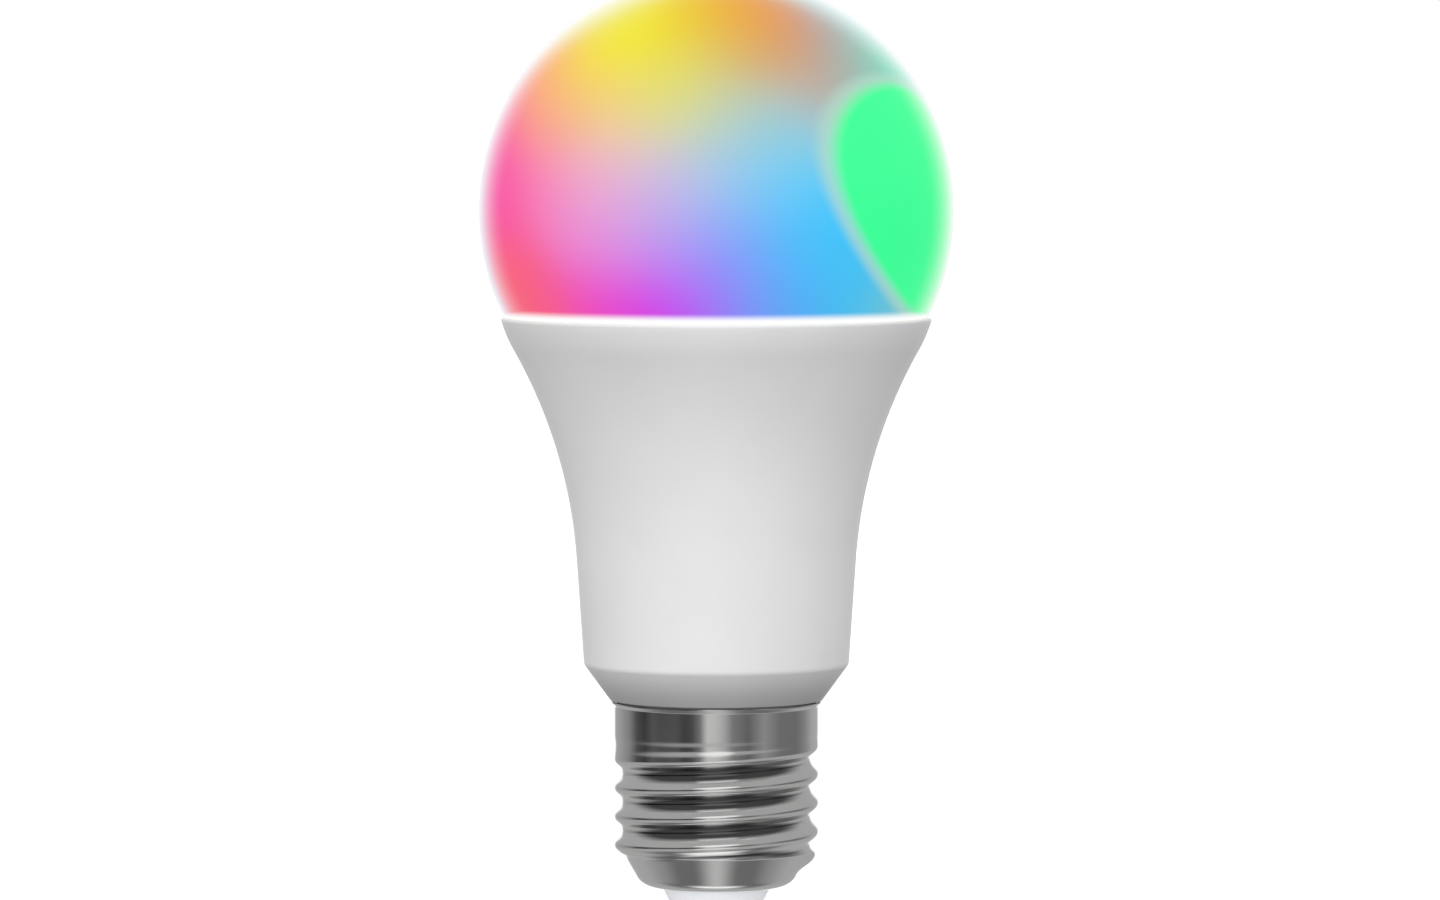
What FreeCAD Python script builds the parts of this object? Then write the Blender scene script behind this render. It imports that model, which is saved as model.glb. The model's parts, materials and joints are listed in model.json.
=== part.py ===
import FreeCAD, Part
import math
import os

# A Wi-Fi colour LED bulb of the common 60 mm globe shape on a standard E27 screw cap, piece by piece.
# Millimetres. The origin is the tip of the centre contact and +Z runs along the bulb towards the globe.
# Seen from the front (along +Y), +X is to the right. The driver board lies in a plane of constant Y.

V = FreeCAD.Vector
X_AXIS, Y_AXIS, Z_AXIS = V(1, 0, 0), V(0, 1, 0), V(0, 0, 1)
CENTRE = V(0, 0, 0)
FIT_GAP = 0.1
FLAT = 1e-4                  # closer than this counts as the same height

# Screw cap: E27 thread with a plain collar above it and a taper below it
THREAD_PITCH = 3.629
CREST_R = 13.05
ROOT_R = 12.05
CREST_Z = 14.31              # height of a crest on the +X side
RUN_IN_TURN = 0.25           # where the top groove starts, in turns from +X: at the back
RUN_IN_EDGE_Z = 18.85        # lower edge of the collar there; from there the edge climbs one pitch a turn
RUN_IN_FADE = (0.83, 1.0)    # the top groove fades out over this part of its last turn
TAPER = math.radians(35)
TAPER_Z = 7.55               # where the taper's cone crosses the root radius
COLLAR_Z = (23.4, 26.1)      # plain round stretch between the thread and the flared top edge
COLLAR_STEP = 0.01           # how far the collar is thicker than the threaded sheet on each side
SHEET = 0.35
RIM_Z = 3.6
RIM_HOLE_R = 7.1
SHELL_TOP_Z = 27.1
FLARE_R = 13.4
RING_POLES = 36              # control points round each ring of the shell
RINGS_PER_PITCH = 10

# Centre contact and its hollow shank
CONTACT_R = 4.8
CONTACT_FLAT_R = 3.4
CONTACT_SEAT_Z = 2.1
SHANK_R = 1.2
SHANK_BORE_R = 0.55
SHANK_TOP_Z = 5.1

# Housing: straight drafted neck, hollow curve, then a round shoulder up to the lip
DRAFT = math.radians(3.9)
FLARE = math.radians(29.4)
NECK_CORNER = (16.78, 31.8)  # radius and height of the corner above the cone
STRAIGHT_TOP_Z = 45.0
HOLLOW_R = 62.9
SHOULDER_R = 18.3
LIP_Z = 75.65
CONE_R = 13.5
CONE_Z = 27.3
WALL = 1.4
LIP_BORE_R = 25.35
LEDGE_Z = 72.9
NECK_BORE_R = 10.4
NECK_BOTTOM_Z = 12.5
THREAD_NECK_R = 11.5
COLLAR_NECK_R = 12.6

# Globe
GLOBE_R = 30.0
GLOBE_Z = 89.1
GLOBE_WALL = 1.6
GLOBE_FOOT_Z = 75.9
SKIRT_R = 24.95
SKIRT_WALL = 1.2
SKIRT_BOTTOM_Z = 73.1

# Heat-sink cup and LED board
CUP_WALL = 0.8
CUP_BOTTOM_Z = 33.8
FLANGE_Z = (69.9, 70.9)
FLANGE_BORE_R = 18.3
PASTE = 0.2
LED_BOARD_R = 23.3
BOARD = 1.6
LED_BOARD_Z = FLANGE_Z[1] + PASTE
LED_TOP_Z = LED_BOARD_Z + BOARD
SCREW_CIRCLE_R = 20.0
SCREW_R = 1.0
SCREW_ANGLES = (90, 210, 330)
WHITE_RING_R = 15.6
WHITE_COUNT = 24
COLOUR_RING_R = 9.9
COLOUR_ANGLES = (45, 90, 135, 225, 270, 315)

# Driver board: its front face (+Y) carries the tall parts and its back face the flat chips
FRONT_Y = -1.4
BACK_Y = FRONT_Y - BOARD
NECK_BOARD_HALF = 9.6
BOARD_HALF = 13.0
BOARD_BOTTOM_Z = 12.8
BOARD_STEP_Z = 33.5
BOARD_TOP_Z = 68.5
LEG_R = 0.3

# Wireless board, parallel to the driver board, with its antenna end above the LED board
RADIO_HALF = 7.5
RADIO_Y = 2.0
RADIO_THICK = 0.8
RADIO_Z = (60.3, 79.0)

# Header between the two boards
PIN_XS = (-3.0, -1.0, 1.0, 3.0)
PIN_Y = -4.2
PIN_SIDE = 0.5
PIN_TOP_Z = 76.2
HEADER_Z = (65.6, 68.0)
SOCKET_TOP_Z = 76.7

TRANSFORMER = (0.0, 4.8, 44.0)
INDUCTOR_Z = 34.4
VARISTOR_Z = 36.0
LEAD_R = 0.6

# Flat chips on the back face: centre (x, z), body size (x, thickness, z) and places of the legs along x
BACK_CHIPS = {
    "bridge_rectifier": ((0, 23.0), (4.8, 2.4, 3.9), (-1.3, 1.3)),
    "controller_chip": ((0, 44.0), (4.9, 1.5, 3.9), (-1.9, -0.63, 0.63, 1.9)),
    "regulator_chip": ((8.5, 60.0), (4.9, 1.5, 3.9), (-1.9, -0.63, 0.63, 1.9)),
    "output_diode": ((0, 60.5), (6.8, 2.2, 5.0), ()),
}
DIODE_TAB = (0.8, 0.7, 2.0)


# ---- plain shapes ----

def block(x_span, y_span, z_span):
    size = [high - low for low, high in (x_span, y_span, z_span)]
    return Part.makeBox(*size, V(x_span[0], y_span[0], z_span[0]))


def block_at(centre, size):
    spans = [(place - length / 2, place + length / 2) for place, length in zip(centre, size)]
    return block(*spans)


def rod(radius, start, end):
    start, end = V(*start), V(*end)
    return Part.makeCylinder(radius, (end - start).Length, start, end - start)


def tube(outer_r, inner_r, z_low, z_high):
    return rod(outer_r, (0, 0, z_low), (0, 0, z_high)).cut(rod(inner_r, (0, 0, z_low), (0, 0, z_high)))


def line(start, end):
    return Part.LineSegment(V(start[0], 0, start[1]), V(end[0], 0, end[1])).toShape()


def arc(start, middle, end):
    points = [V(r, 0, z) for r, z in (start, middle, end)]
    return Part.Arc(*points).toShape()


def path_lines(points):
    return [line(start, end) for start, end in zip(points, points[1:])]


def turned(edges):
    """Solid of revolution about Z from edges in (radius, height) that close on themselves."""
    face = Part.Face(Part.Wire(Part.__sortEdges__(edges)))
    return face.revolve(CENTRE, Z_AXIS, 360)


def turned_polygon(points):
    return turned(path_lines(points + points[:1]))


def round_edges_at(shape, z, radius):
    """Fillet on the edges that lie in the plane of that height."""
    edges = []
    for edge in shape.Edges:
        box = edge.BoundBox
        if abs(box.ZMin - z) < FLAT and box.ZLength < FLAT:
            edges.append(edge)
    return shape.makeFillet(radius, edges)


def round_all(shape, radius):
    return shape.makeFillet(radius, shape.Edges)


def turned_about_z(shape, angle):
    copy = shape.copy()
    copy.rotate(CENTRE, Z_AXIS, angle)
    return copy


def group(shapes):
    return Part.makeCompound(shapes)


def cut_all(shape, tools):
    return shape.cut(group(tools))


def wire_along(points, radius):
    """Round wire along straight runs joined by arcs as large as the two runs beside each allow."""
    points = [V(*point) for point in points]
    edges = []
    start = points[0]
    for before, corner, after in zip(points, points[1:], points[2:]):
        arriving, leaving = corner - before, after - corner
        reach = 0.45 * min(arriving.Length, leaving.Length)
        arriving.normalize()
        leaving.normalize()
        bend_start, bend_end = corner - arriving * reach, corner + leaving * reach
        half_turn = arriving.getAngle(leaving) / 2
        bisector = (leaving - arriving).normalize()
        bend_r = reach / math.tan(half_turn)
        bend_middle = corner + bisector * (bend_r / math.cos(half_turn) - bend_r)
        edges.append(Part.LineSegment(start, bend_start).toShape())
        edges.append(Part.Arc(bend_start, bend_middle, bend_end).toShape())
        start = bend_end
    edges.append(Part.LineSegment(start, points[-1]).toShape())
    section = Part.Face(Part.Wire(Part.makeCircle(radius, points[0], points[1] - points[0])))
    return Part.Wire(edges).makePipe(section)


# ---- screw cap ----

def fade(value, span):
    """0 below the span, 1 above it and smooth between."""
    share = min(max((value - span[0]) / (span[1] - span[0]), 0), 1)
    return share * share * (3 - 2 * share)


def thread_radius(angle, z, wave_gain):
    """Outside radius of the threaded stretch. The taper's cone cuts off what stands out of it below."""
    turn = angle / (2 * math.pi)
    wave = math.cos(2 * math.pi * ((z - CREST_Z) / THREAD_PITCH - turn))
    wave = wave_gain * (1.15 * wave - 0.15 * wave ** 3)
    past_start = (turn - RUN_IN_TURN) % 1
    turns_down = (RUN_IN_EDGE_Z - z) / THREAD_PITCH + past_start
    depth = CREST_R - ROOT_R
    if turns_down < 0:
        depth = 0
    elif turns_down < 1:
        depth *= 1 - fade(past_start, RUN_IN_FADE)
    cone_r = ROOT_R + (z - TAPER_Z) * math.tan(TAPER)
    return min(CREST_R - depth * (1 - wave) / 2, cone_r)


def shell_rings():
    """(radius, height, outward normal) of the shell's control rings from rim hole to collar.

    The radius is None where the thread's wave sets it."""
    under, slanted, level = (0, -1), (math.cos(TAPER), -math.sin(TAPER)), (1, 0)
    cone_foot_r = ROOT_R + (RIM_Z - TAPER_Z) * math.tan(TAPER)
    rings = [(radius, RIM_Z, under) for radius in (RIM_HOLE_R, 8.3, cone_foot_r)]
    rings += [(None, z, slanted) for z in (4.6, 5.6, 6.6)]
    threaded = RUN_IN_EDGE_Z + THREAD_PITCH - TAPER_Z
    step = THREAD_PITCH / RINGS_PER_PITCH
    rings += [(None, TAPER_Z + index * step, level) for index in range(math.ceil(threaded / step))]
    return rings + [(CREST_R, z, level) for z in (22.8, 23.1, COLLAR_Z[0])]


def shell_surface(inset):
    """Smooth surface through the rings, set in from the outside by the given distance."""
    rings = shell_rings()
    circle_gain = 3 / (2 + math.cos(2 * math.pi / RING_POLES))
    wave_gain = 3 / (2 + math.cos(2 * math.pi / RINGS_PER_PITCH))
    poles = []
    for column in range(RING_POLES):
        angle = 2 * math.pi * column / RING_POLES
        line_of_poles = []
        for fixed_r, z, (normal_r, normal_z) in rings:
            radius = fixed_r or thread_radius(angle, z, wave_gain)
            radius = (radius - inset * normal_r) * circle_gain
            height = z - inset * normal_z
            line_of_poles.append(V(radius * math.cos(angle), radius * math.sin(angle), height))
        poles.append(line_of_poles)
    around = list(range(RING_POLES + 1))
    upward = list(range(len(rings) - 2))
    end_mults = [4] + [1] * (len(upward) - 2) + [4]
    surface = Part.BSplineSurface()
    surface.buildFromPolesMultsKnots(poles, [1] * len(around), end_mults, around, upward, True, False, 3, 3)
    return surface


def edge_ring(outer, inner, row):
    """Ruled ring that closes the sheet between the ends of its outer and inner surfaces."""
    outer_edge, inner_edge = (surface.vIso(row(surface)).toShape() for surface in (outer, inner))
    return Part.makeRuledSurface(outer_edge, inner_edge)


def threaded_sheet():
    outer, inner = shell_surface(0), shell_surface(SHEET)
    bottom = edge_ring(outer, inner, lambda surface: surface.bounds()[2])
    top = edge_ring(outer, inner, lambda surface: surface.bounds()[3])
    skin = group([outer.toShape(), inner.toShape(), bottom, top])
    skin.sewShape(1e-4)
    sheet = Part.Solid(skin.Shells[0])
    if sheet.Volume < 0:
        sheet.reverse()
    return sheet


def collar():
    """Plain ring above the thread with a flared top edge."""
    low, high = COLLAR_Z
    collar_r, bore_r = CREST_R + COLLAR_STEP, CREST_R - SHEET - COLLAR_STEP
    flare_bore_r, flare_z = FLARE_R - SHEET, high + 0.6
    outside = [(collar_r, low), (collar_r, high), (FLARE_R, flare_z), (FLARE_R, SHELL_TOP_Z)]
    inside = [(flare_bore_r, SHELL_TOP_Z), (flare_bore_r, flare_z), (bore_r, high), (bore_r, low)]
    return turned_polygon(outside + inside)


def screw_shell():
    return threaded_sheet().fuse(collar())


def cap_insulator():
    """Cone through the rim's hole, with a flange inside the shell and a seat for the contact below."""
    bore_r, seat_r, tip_z = SHANK_R + 0.05, CONTACT_R + 0.1, 1.3
    neck_r = RIM_HOLE_R - 0.1
    flange_z = RIM_Z + SHEET + 0.1
    outside = [(seat_r, tip_z), (5.85, tip_z), (neck_r, RIM_Z), (neck_r, flange_z)]
    flange = [(8.6, flange_z), (8.6, flange_z + 0.55), (7.6, flange_z + 1.55)]
    dish = [(3.0, flange_z + 1.55), (2.4, SHANK_TOP_Z - 0.1), (bore_r, SHANK_TOP_Z - 0.1)]
    seat = [(bore_r, CONTACT_SEAT_Z), (seat_r, CONTACT_SEAT_Z)]
    return round_edges_at(turned_polygon(outside + flange + dish + seat), tip_z, 0.25)


def centre_contact():
    """Button with a rounded rim and a hollow shank that takes the live wire's bare end."""
    rim_r = CONTACT_R - CONTACT_FLAT_R
    slant = rim_r * math.sqrt(0.5)
    rim = arc((CONTACT_FLAT_R, 0), (CONTACT_FLAT_R + slant, rim_r - slant), (CONTACT_R, rim_r))
    side = path_lines([(CONTACT_R, rim_r), (CONTACT_R, CONTACT_SEAT_Z), (0, CONTACT_SEAT_Z)])
    button = turned(path_lines([(0, CONTACT_SEAT_Z), (0, 0), (CONTACT_FLAT_R, 0)]) + [rim] + side)
    shank = tube(SHANK_R, SHANK_BORE_R, CONTACT_SEAT_Z, SHANK_TOP_Z)
    return button.fuse(shank).removeSplitter()


# ---- housing, globe and seal ----

def moved(point, direction, distance):
    return point[0] + direction[0] * distance, point[1] + direction[1] * distance


def wall_levels(inset):
    """Points where the housing's straight, hollow and round stretches meet, and the two arc centres."""
    straight_normal = (math.cos(DRAFT), -math.sin(DRAFT))
    flare_normal = (math.cos(FLARE), -math.sin(FLARE))
    straight_end = (NECK_CORNER[0] + (STRAIGHT_TOP_Z - NECK_CORNER[1]) * math.tan(DRAFT), STRAIGHT_TOP_Z)
    hollow_centre = moved(straight_end, straight_normal, HOLLOW_R)
    hollow_end = moved(hollow_centre, flare_normal, -HOLLOW_R)
    round_centre = moved(hollow_end, flare_normal, -SHOULDER_R)
    straight_end = moved(straight_end, straight_normal, -inset)
    hollow_end = moved(hollow_end, flare_normal, -inset)
    return straight_end, hollow_end, hollow_centre, round_centre


def wall_radius(z, inset):
    """Radius of the housing's outside at a height, or of a surface set in from it."""
    straight_end, hollow_end, hollow_centre, round_centre = wall_levels(inset)
    if z <= straight_end[1]:
        return straight_end[0] - (straight_end[1] - z) * math.tan(DRAFT)
    if z <= hollow_end[1]:
        radius = HOLLOW_R + inset
        return hollow_centre[0] - math.sqrt(radius ** 2 - (z - hollow_centre[1]) ** 2)
    radius = SHOULDER_R - inset
    return round_centre[0] + math.sqrt(radius ** 2 - (z - round_centre[1]) ** 2)


def wall_edges(inset, z_low, z_high):
    straight_end, hollow_end = wall_levels(inset)[:2]
    joins = [z for z in (straight_end[1], hollow_end[1]) if z_low < z < z_high]
    levels = [z_low] + joins + [z_high]
    edges = []
    for low, high in zip(levels, levels[1:]):
        start, middle, end = ((wall_radius(z, inset), z) for z in (low, (low + high) / 2, high))
        is_straight = high <= straight_end[1] + 1e-9
        edges.append(line(start, end) if is_straight else arc(start, middle, end))
    return edges


def outer_housing():
    floor_z = NECK_CORNER[1] + WALL
    outside = [(NECK_BORE_R, NECK_BOTTOM_Z), (THREAD_NECK_R, NECK_BOTTOM_Z), (THREAD_NECK_R, 21.6),
               (COLLAR_NECK_R, 22.4), (COLLAR_NECK_R, CONE_Z), (CONE_R, CONE_Z), NECK_CORNER]
    lip = [(wall_radius(LIP_Z, 0), LIP_Z), (LIP_BORE_R, LIP_Z), (LIP_BORE_R, LEDGE_Z),
           (wall_radius(LEDGE_Z, WALL), LEDGE_Z)]
    inside = [(wall_radius(floor_z, WALL), floor_z), (NECK_BORE_R, 28.5), (NECK_BORE_R, NECK_BOTTOM_Z)]
    edges = path_lines(outside) + wall_edges(0, NECK_CORNER[1], LIP_Z) + path_lines(lip)
    edges += wall_edges(WALL, floor_z, LEDGE_Z) + path_lines(inside)
    housing = round_edges_at(turned(edges), NECK_CORNER[1], 1.2)
    housing = housing.fuse(board_guides())
    return housing.removeSplitter()


def board_guides():
    """Four ribs inside the neck that hold the driver board by its edges."""
    rib, gap = 1.0, 0.15
    ribs = []
    for side in (-1, 1):
        x_span = sorted((side * 8.6, side * 10.8))
        ribs.append(block(x_span, (FRONT_Y + gap, FRONT_Y + gap + rib), (14.0, 27.0)))
        ribs.append(block(x_span, (BACK_Y - gap - rib, BACK_Y - gap), (14.0, 27.0)))
    return ribs


def ball_point(radius, z):
    return math.sqrt(radius ** 2 - (z - GLOBE_Z) ** 2), z


def ball_edges(radius, foot):
    """Two arcs about the globe's centre: from a foot point to the equator, and on to the crown."""
    equator, crown = (radius, GLOBE_Z), (0, GLOBE_Z + radius)
    low_middle = ball_point(radius, (foot[1] + GLOBE_Z) / 2)
    high_middle = ball_point(radius, GLOBE_Z + radius / 2)
    return [arc(foot, low_middle, equator), arc(equator, high_middle, crown)]


def diffuser_globe():
    """Hollow ball cut off at its foot, where a narrower skirt goes down into the housing."""
    inner_r = GLOBE_R - GLOBE_WALL
    skirt_bore = SKIRT_R - SKIRT_WALL
    outer_foot = ball_point(GLOBE_R, GLOBE_FOOT_Z)
    inner_foot = ball_point(inner_r, GLOBE_FOOT_Z + 1.7)
    skirt = [inner_foot, (skirt_bore, GLOBE_FOOT_Z - 0.4), (skirt_bore, SKIRT_BOTTOM_Z),
             (SKIRT_R, SKIRT_BOTTOM_Z), (SKIRT_R, GLOBE_FOOT_Z), outer_foot]
    crown = line((0, GLOBE_Z + GLOBE_R), (0, GLOBE_Z + inner_r))
    edges = ball_edges(GLOBE_R, outer_foot) + ball_edges(inner_r, inner_foot)
    return turned(edges + [crown] + path_lines(skirt))


def diffuser_sealant():
    """Bead that fills the groove beside the skirt and shows as a thin line between lip and globe."""
    gap = 0.02
    return turned_polygon([(SKIRT_R + gap, LEDGE_Z + 0.1), (LIP_BORE_R - gap, LEDGE_Z + 0.1),
                           (LIP_BORE_R - gap, LIP_Z), (26.6, LIP_Z), (26.6, GLOBE_FOOT_Z),
                           (SKIRT_R + gap, GLOBE_FOOT_Z)])


# ---- heat sink and LED board ----

def heat_sink_cup():
    outer, inner = WALL + FIT_GAP, WALL + FIT_GAP + CUP_WALL
    low, (flange_low, flange_high) = CUP_BOTTOM_Z, FLANGE_Z
    edges = wall_edges(outer, low, flange_high) + wall_edges(inner, low, flange_low)
    edges += path_lines([(wall_radius(low, inner), low), (wall_radius(low, outer), low)])
    edges += path_lines([(wall_radius(flange_high, outer), flange_high), (FLANGE_BORE_R, flange_high),
                         (FLANGE_BORE_R, flange_low), (wall_radius(flange_low, inner), flange_low)])
    return cut_all(turned(edges), screw_holes())


def at_screws(shape):
    return [turned_about_z(shape, angle) for angle in SCREW_ANGLES]


def screw_holes():
    below, above = FLANGE_Z[0] - 1, LED_TOP_Z + 1
    return at_screws(rod(SCREW_R + 0.05, (SCREW_CIRCLE_R, 0, below), (SCREW_CIRCLE_R, 0, above)))


def thermal_paste():
    ring = tube(LED_BOARD_R - 0.5, FLANGE_BORE_R + 0.3, FLANGE_Z[1], LED_BOARD_Z)
    return cut_all(ring, screw_holes())


def led_board():
    disc = rod(LED_BOARD_R, (0, 0, LED_BOARD_Z), (0, 0, LED_TOP_Z))
    slot_size = (2 * RADIO_HALF + 0.6, RADIO_THICK + 0.5, 4 * BOARD)
    slot = block_at((0, RADIO_Y + RADIO_THICK / 2, LED_BOARD_Z), slot_size)
    return cut_all(disc, screw_holes() + pin_holes(0.5, LED_BOARD_Z, LED_TOP_Z) + [slot])


def led_board_screws():
    """Pan-head screws with a cross recess."""
    head = rod(1.9, (0, 0, LED_TOP_Z), (0, 0, LED_TOP_Z + 1.3))
    head = round_edges_at(head, LED_TOP_Z + 1.3, 0.6)
    shank = rod(SCREW_R, (0, 0, LED_TOP_Z - 4), (0, 0, LED_TOP_Z))
    recess = [block_at((0, 0, LED_TOP_Z + 1.1), size) for size in ((2.0, 0.45, 0.8), (0.45, 2.0, 0.8))]
    screw = cut_all(head.fuse(shank), recess)
    screw.translate(V(SCREW_CIRCLE_R, 0, 0))
    return group(at_screws(screw))


def led_package(length, width, height, window_r):
    """Moulded LED body lying on the board at X = 0, with a round window sunk in its top."""
    body = block_at((0, 0, LED_TOP_Z + height / 2), (length, width, height))
    window = Part.makeCone(window_r - 0.2, window_r, 0.3, V(0, 0, LED_TOP_Z + height - 0.3))
    return body.cut(window)


def led_ring(package, ring_r, angles):
    leds = []
    for angle in angles:
        led = package.copy()
        led.translate(V(ring_r, 0, 0))
        leds.append(turned_about_z(led, angle))
    return group(leds)


def white_leds(first):
    step = 360 / WHITE_COUNT
    angles = [step * (index + 0.5) for index in range(first, WHITE_COUNT, 2)]
    return led_ring(led_package(3.5, 2.8, 0.8, 1.1), WHITE_RING_R, angles)


def rgb_leds():
    return led_ring(led_package(5.0, 5.0, 1.5, 2.0), COLOUR_RING_R, COLOUR_ANGLES)


def led_driver_chips():
    chip = block_at((0, 0, LED_TOP_Z + 0.8), (3.9, 4.9, 1.6))
    chips = []
    for side in (-1, 1):
        copy = chip.copy()
        copy.translate(V(side * 11.0, -1.0, 0))
        chips.append(copy)
    return group(chips)


def led_board_resistors():
    places = [(side * x, y) for side in (-1, 1) for x, y in ((11.2, 3.4), (2.6, 5.0))]
    return group([block_at((x, y, LED_TOP_Z + 0.25), (2.0, 1.25, 0.5)) for x, y in places])


# ---- link between the boards ----

def pin_holes(radius, z_low, z_high):
    return [rod(radius, (x, PIN_Y, z_low - 1), (x, PIN_Y, z_high + 1)) for x in PIN_XS]


def board_socket():
    body = block((-4.4, 4.4), (PIN_Y - 1.3, PIN_Y + 1.3), (LED_TOP_Z, SOCKET_TOP_Z))
    return cut_all(body, pin_holes(0.45, LED_TOP_Z, SOCKET_TOP_Z))


def header_block():
    body = block((-4.4, 4.4), (PIN_Y - 1.1, BACK_Y - 0.05), HEADER_Z)
    return cut_all(body, pin_holes(0.45, *HEADER_Z))


def header_pins():
    """Square pins that stand up through both mouldings and bend to the back of the driver board."""
    foot_z, half = HEADER_Z[0] - 0.8, PIN_SIDE / 2
    pins = []
    for x in PIN_XS:
        x_span = (x - half, x + half)
        upright = block(x_span, (PIN_Y - half, PIN_Y + half), (foot_z, PIN_TOP_Z))
        foot = block(x_span, (PIN_Y - half, BACK_Y), (foot_z - half, foot_z + half))
        pins.append(upright.fuse(foot).removeSplitter())
    return group(pins)


# ---- wireless board ----

def wireless_board():
    return block((-RADIO_HALF, RADIO_HALF), (RADIO_Y, RADIO_Y + RADIO_THICK), RADIO_Z)


def wireless_chip():
    front = RADIO_Y + RADIO_THICK
    return block((-4.5, 0.5), (front, front + 0.9), (63.0, 68.0))


def wireless_crystal():
    front = RADIO_Y + RADIO_THICK
    return block((1.8, 5.0), (front, front + 0.7), (64.2, 66.7))


def wireless_shield():
    front = RADIO_Y + RADIO_THICK
    can = block((-6.2, 6.2), (front, front + 1.9), (61.4, 69.6))
    can = can.makeFillet(0.4, [edge for edge in can.Edges if edge.BoundBox.YMin > front + 1])
    return can.cut(block((-6.0, 6.0), (front, front + 1.7), (61.6, 69.4)))


def antenna_trace():
    """Flat copper meander printed on the end of the wireless board that stands above the LED board."""
    front, copper, width = RADIO_Y + RADIO_THICK, 0.1, 0.6
    low, high, pitch, turns = 73.6, 78.4, 2.2, 6
    left = -pitch * turns / 2
    strips = []
    for index in range(turns + 1):
        x = left + index * pitch
        strips.append(block((x, x + width), (front, front + copper), (low, high)))
    for index in range(turns):
        x = left + index * pitch
        z = high - width if index % 2 == 0 else low
        strips.append(block((x, x + pitch + width), (front, front + copper), (z, z + width)))
    return strips[0].fuse(strips[1:]).removeSplitter()


def wireless_pins():
    return group([block_at((x, (FRONT_Y + RADIO_Y) / 2, 61.6), (0.6, RADIO_Y - FRONT_Y, 0.6))
                  for x in (-5, -3, -1, 1, 3, 5)])


# ---- driver board and its parts ----

# Where the legs of the parts on the front face pass through the driver board: name to (x, z) places
LEG_PLACES = {
    "input_capacitor": [(-2.5, 29.6), (2.5, 29.6)],
    "fusible_resistor": [(-7.3, 28.0)],
    "varistor": [(-9.3, VARISTOR_Z - 2.4), (-9.3, VARISTOR_Z + 2.4)],
    "film_capacitor": [(8.4, 33.2), (8.4, 39.2)],
    "inductor": [(-2.6, INDUCTOR_Z), (2.6, INDUCTOR_Z)],
    "transformer": [(x, TRANSFORMER[2] + z) for x in (-3.8, 0, 3.8) for z in (-4.05, 4.05)],
    "output_capacitor": [(-9.3, 55.2), (-5.9, 55.2)],
    "standby_capacitor": [(5.3, 54.4), (7.7, 54.4)],
}


def leg_places():
    return [place for places in LEG_PLACES.values() for place in places]


def driver_board():
    narrow = block((-NECK_BOARD_HALF, NECK_BOARD_HALF), (BACK_Y, FRONT_Y), (BOARD_BOTTOM_Z, BOARD_STEP_Z))
    wide = block((-BOARD_HALF, BOARD_HALF), (BACK_Y, FRONT_Y), (BOARD_STEP_Z, BOARD_TOP_Z))
    holes = [rod(LEG_R + 0.15, (x, BACK_Y - 1, z), (x, FRONT_Y + 1, z)) for x, z in leg_places()]
    return cut_all(narrow.fuse(wide).removeSplitter(), holes)


def driver_sleeve():
    """Insulating film between the driver and the metal cup."""
    inner, film, low, high = 2.6, 0.4, 34.2, 64.0
    edges = wall_edges(inner, low, high) + wall_edges(inner + film, low, high)
    for z in (low, high):
        edges.append(line((wall_radius(z, inner), z), (wall_radius(z, inner + film), z)))
    return turned(edges)


def electrolytic(radius, length, base, direction):
    """Sleeved can with a rolled groove near its leg end and a rounded top, standing on its base point."""
    groove_z, groove = 0.14 * length, 0.35
    can = rod(radius, (0, 0, 0), (0, 0, length))
    can = round_edges_at(can, length, 0.5)
    can = round_edges_at(can, 0, 0.3)
    can = can.cut(Part.makeTorus(radius + groove * 0.4, groove, V(0, 0, groove_z)))
    can = can.cut(rod(radius * 0.8, (0, 0, length - 0.15), (0, 0, length)))
    can.Placement = FreeCAD.Placement(V(*base), FreeCAD.Rotation(Z_AXIS, direction))
    return can


def input_capacitor():
    return electrolytic(5.0, 14.0, (0, 4.0, 27.2), -Z_AXIS)


def output_capacitor():
    return electrolytic(4.0, 11.0, (-7.6, FRONT_Y + 0.5, 55.2), Y_AXIS)


def standby_capacitor():
    return electrolytic(2.5, 9.0, (6.5, FRONT_Y + 0.5, 54.4), Y_AXIS)


def fusible_resistor():
    barrel = rod(1.3, (-7.3, 1.3, 14.5), (-7.3, 1.3, 24.0))
    caps = [rod(1.5, (-7.3, 1.3, z), (-7.3, 1.3, z + 2.2)) for z in (14.5, 21.8)]
    body = barrel.fuse(caps).removeSplitter()
    return round_edges_at(round_edges_at(body, 14.5, 0.4), 24.0, 0.4)


def varistor():
    return round_all(rod(3.75, (-11.2, 3.2, VARISTOR_Z), (-7.4, 3.2, VARISTOR_Z)), 0.8)


def film_capacitor():
    return round_all(block((6.7, 10.2), (FRONT_Y + 0.4, 7.0), (31.8, 40.6)), 0.5)


def across(radius, x, y_low, y_high):
    """Rod along Y at the inductor's height."""
    return rod(radius, (x, y_low, INDUCTOR_Z), (x, y_high, INDUCTOR_Z))


def inductor_core():
    """Ferrite drum standing on the board."""
    base, top, flange = FRONT_Y + 0.5, 5.7, 0.9
    discs = [across(3.6, 0, y, y + flange) for y in (base, top - flange)]
    drum = across(1.8, 0, base, top).fuse(discs).removeSplitter()
    return cut_all(drum, [across(0.45, x, base - 1, base + flange) for x in (-2.6, 2.6)])


def inductor_winding():
    """Layer of wire turns on the drum, ribbed by the wire."""
    low, high, outer_r, wire_r = FRONT_Y + 1.55, 4.65, 3.0, 0.2
    sleeve = across(outer_r, 0, low, high).cut(across(1.85, 0, low, high))
    count = int((high - low) / (2 * wire_r))
    grooves = []
    for index in range(count + 1):
        centre = V(0, low + index * (high - low) / count, INDUCTOR_Z)
        grooves.append(Part.makeTorus(outer_r + wire_r * 0.6, wire_r * 0.8, centre, Y_AXIS))
    return cut_all(sleeve, grooves)


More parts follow.
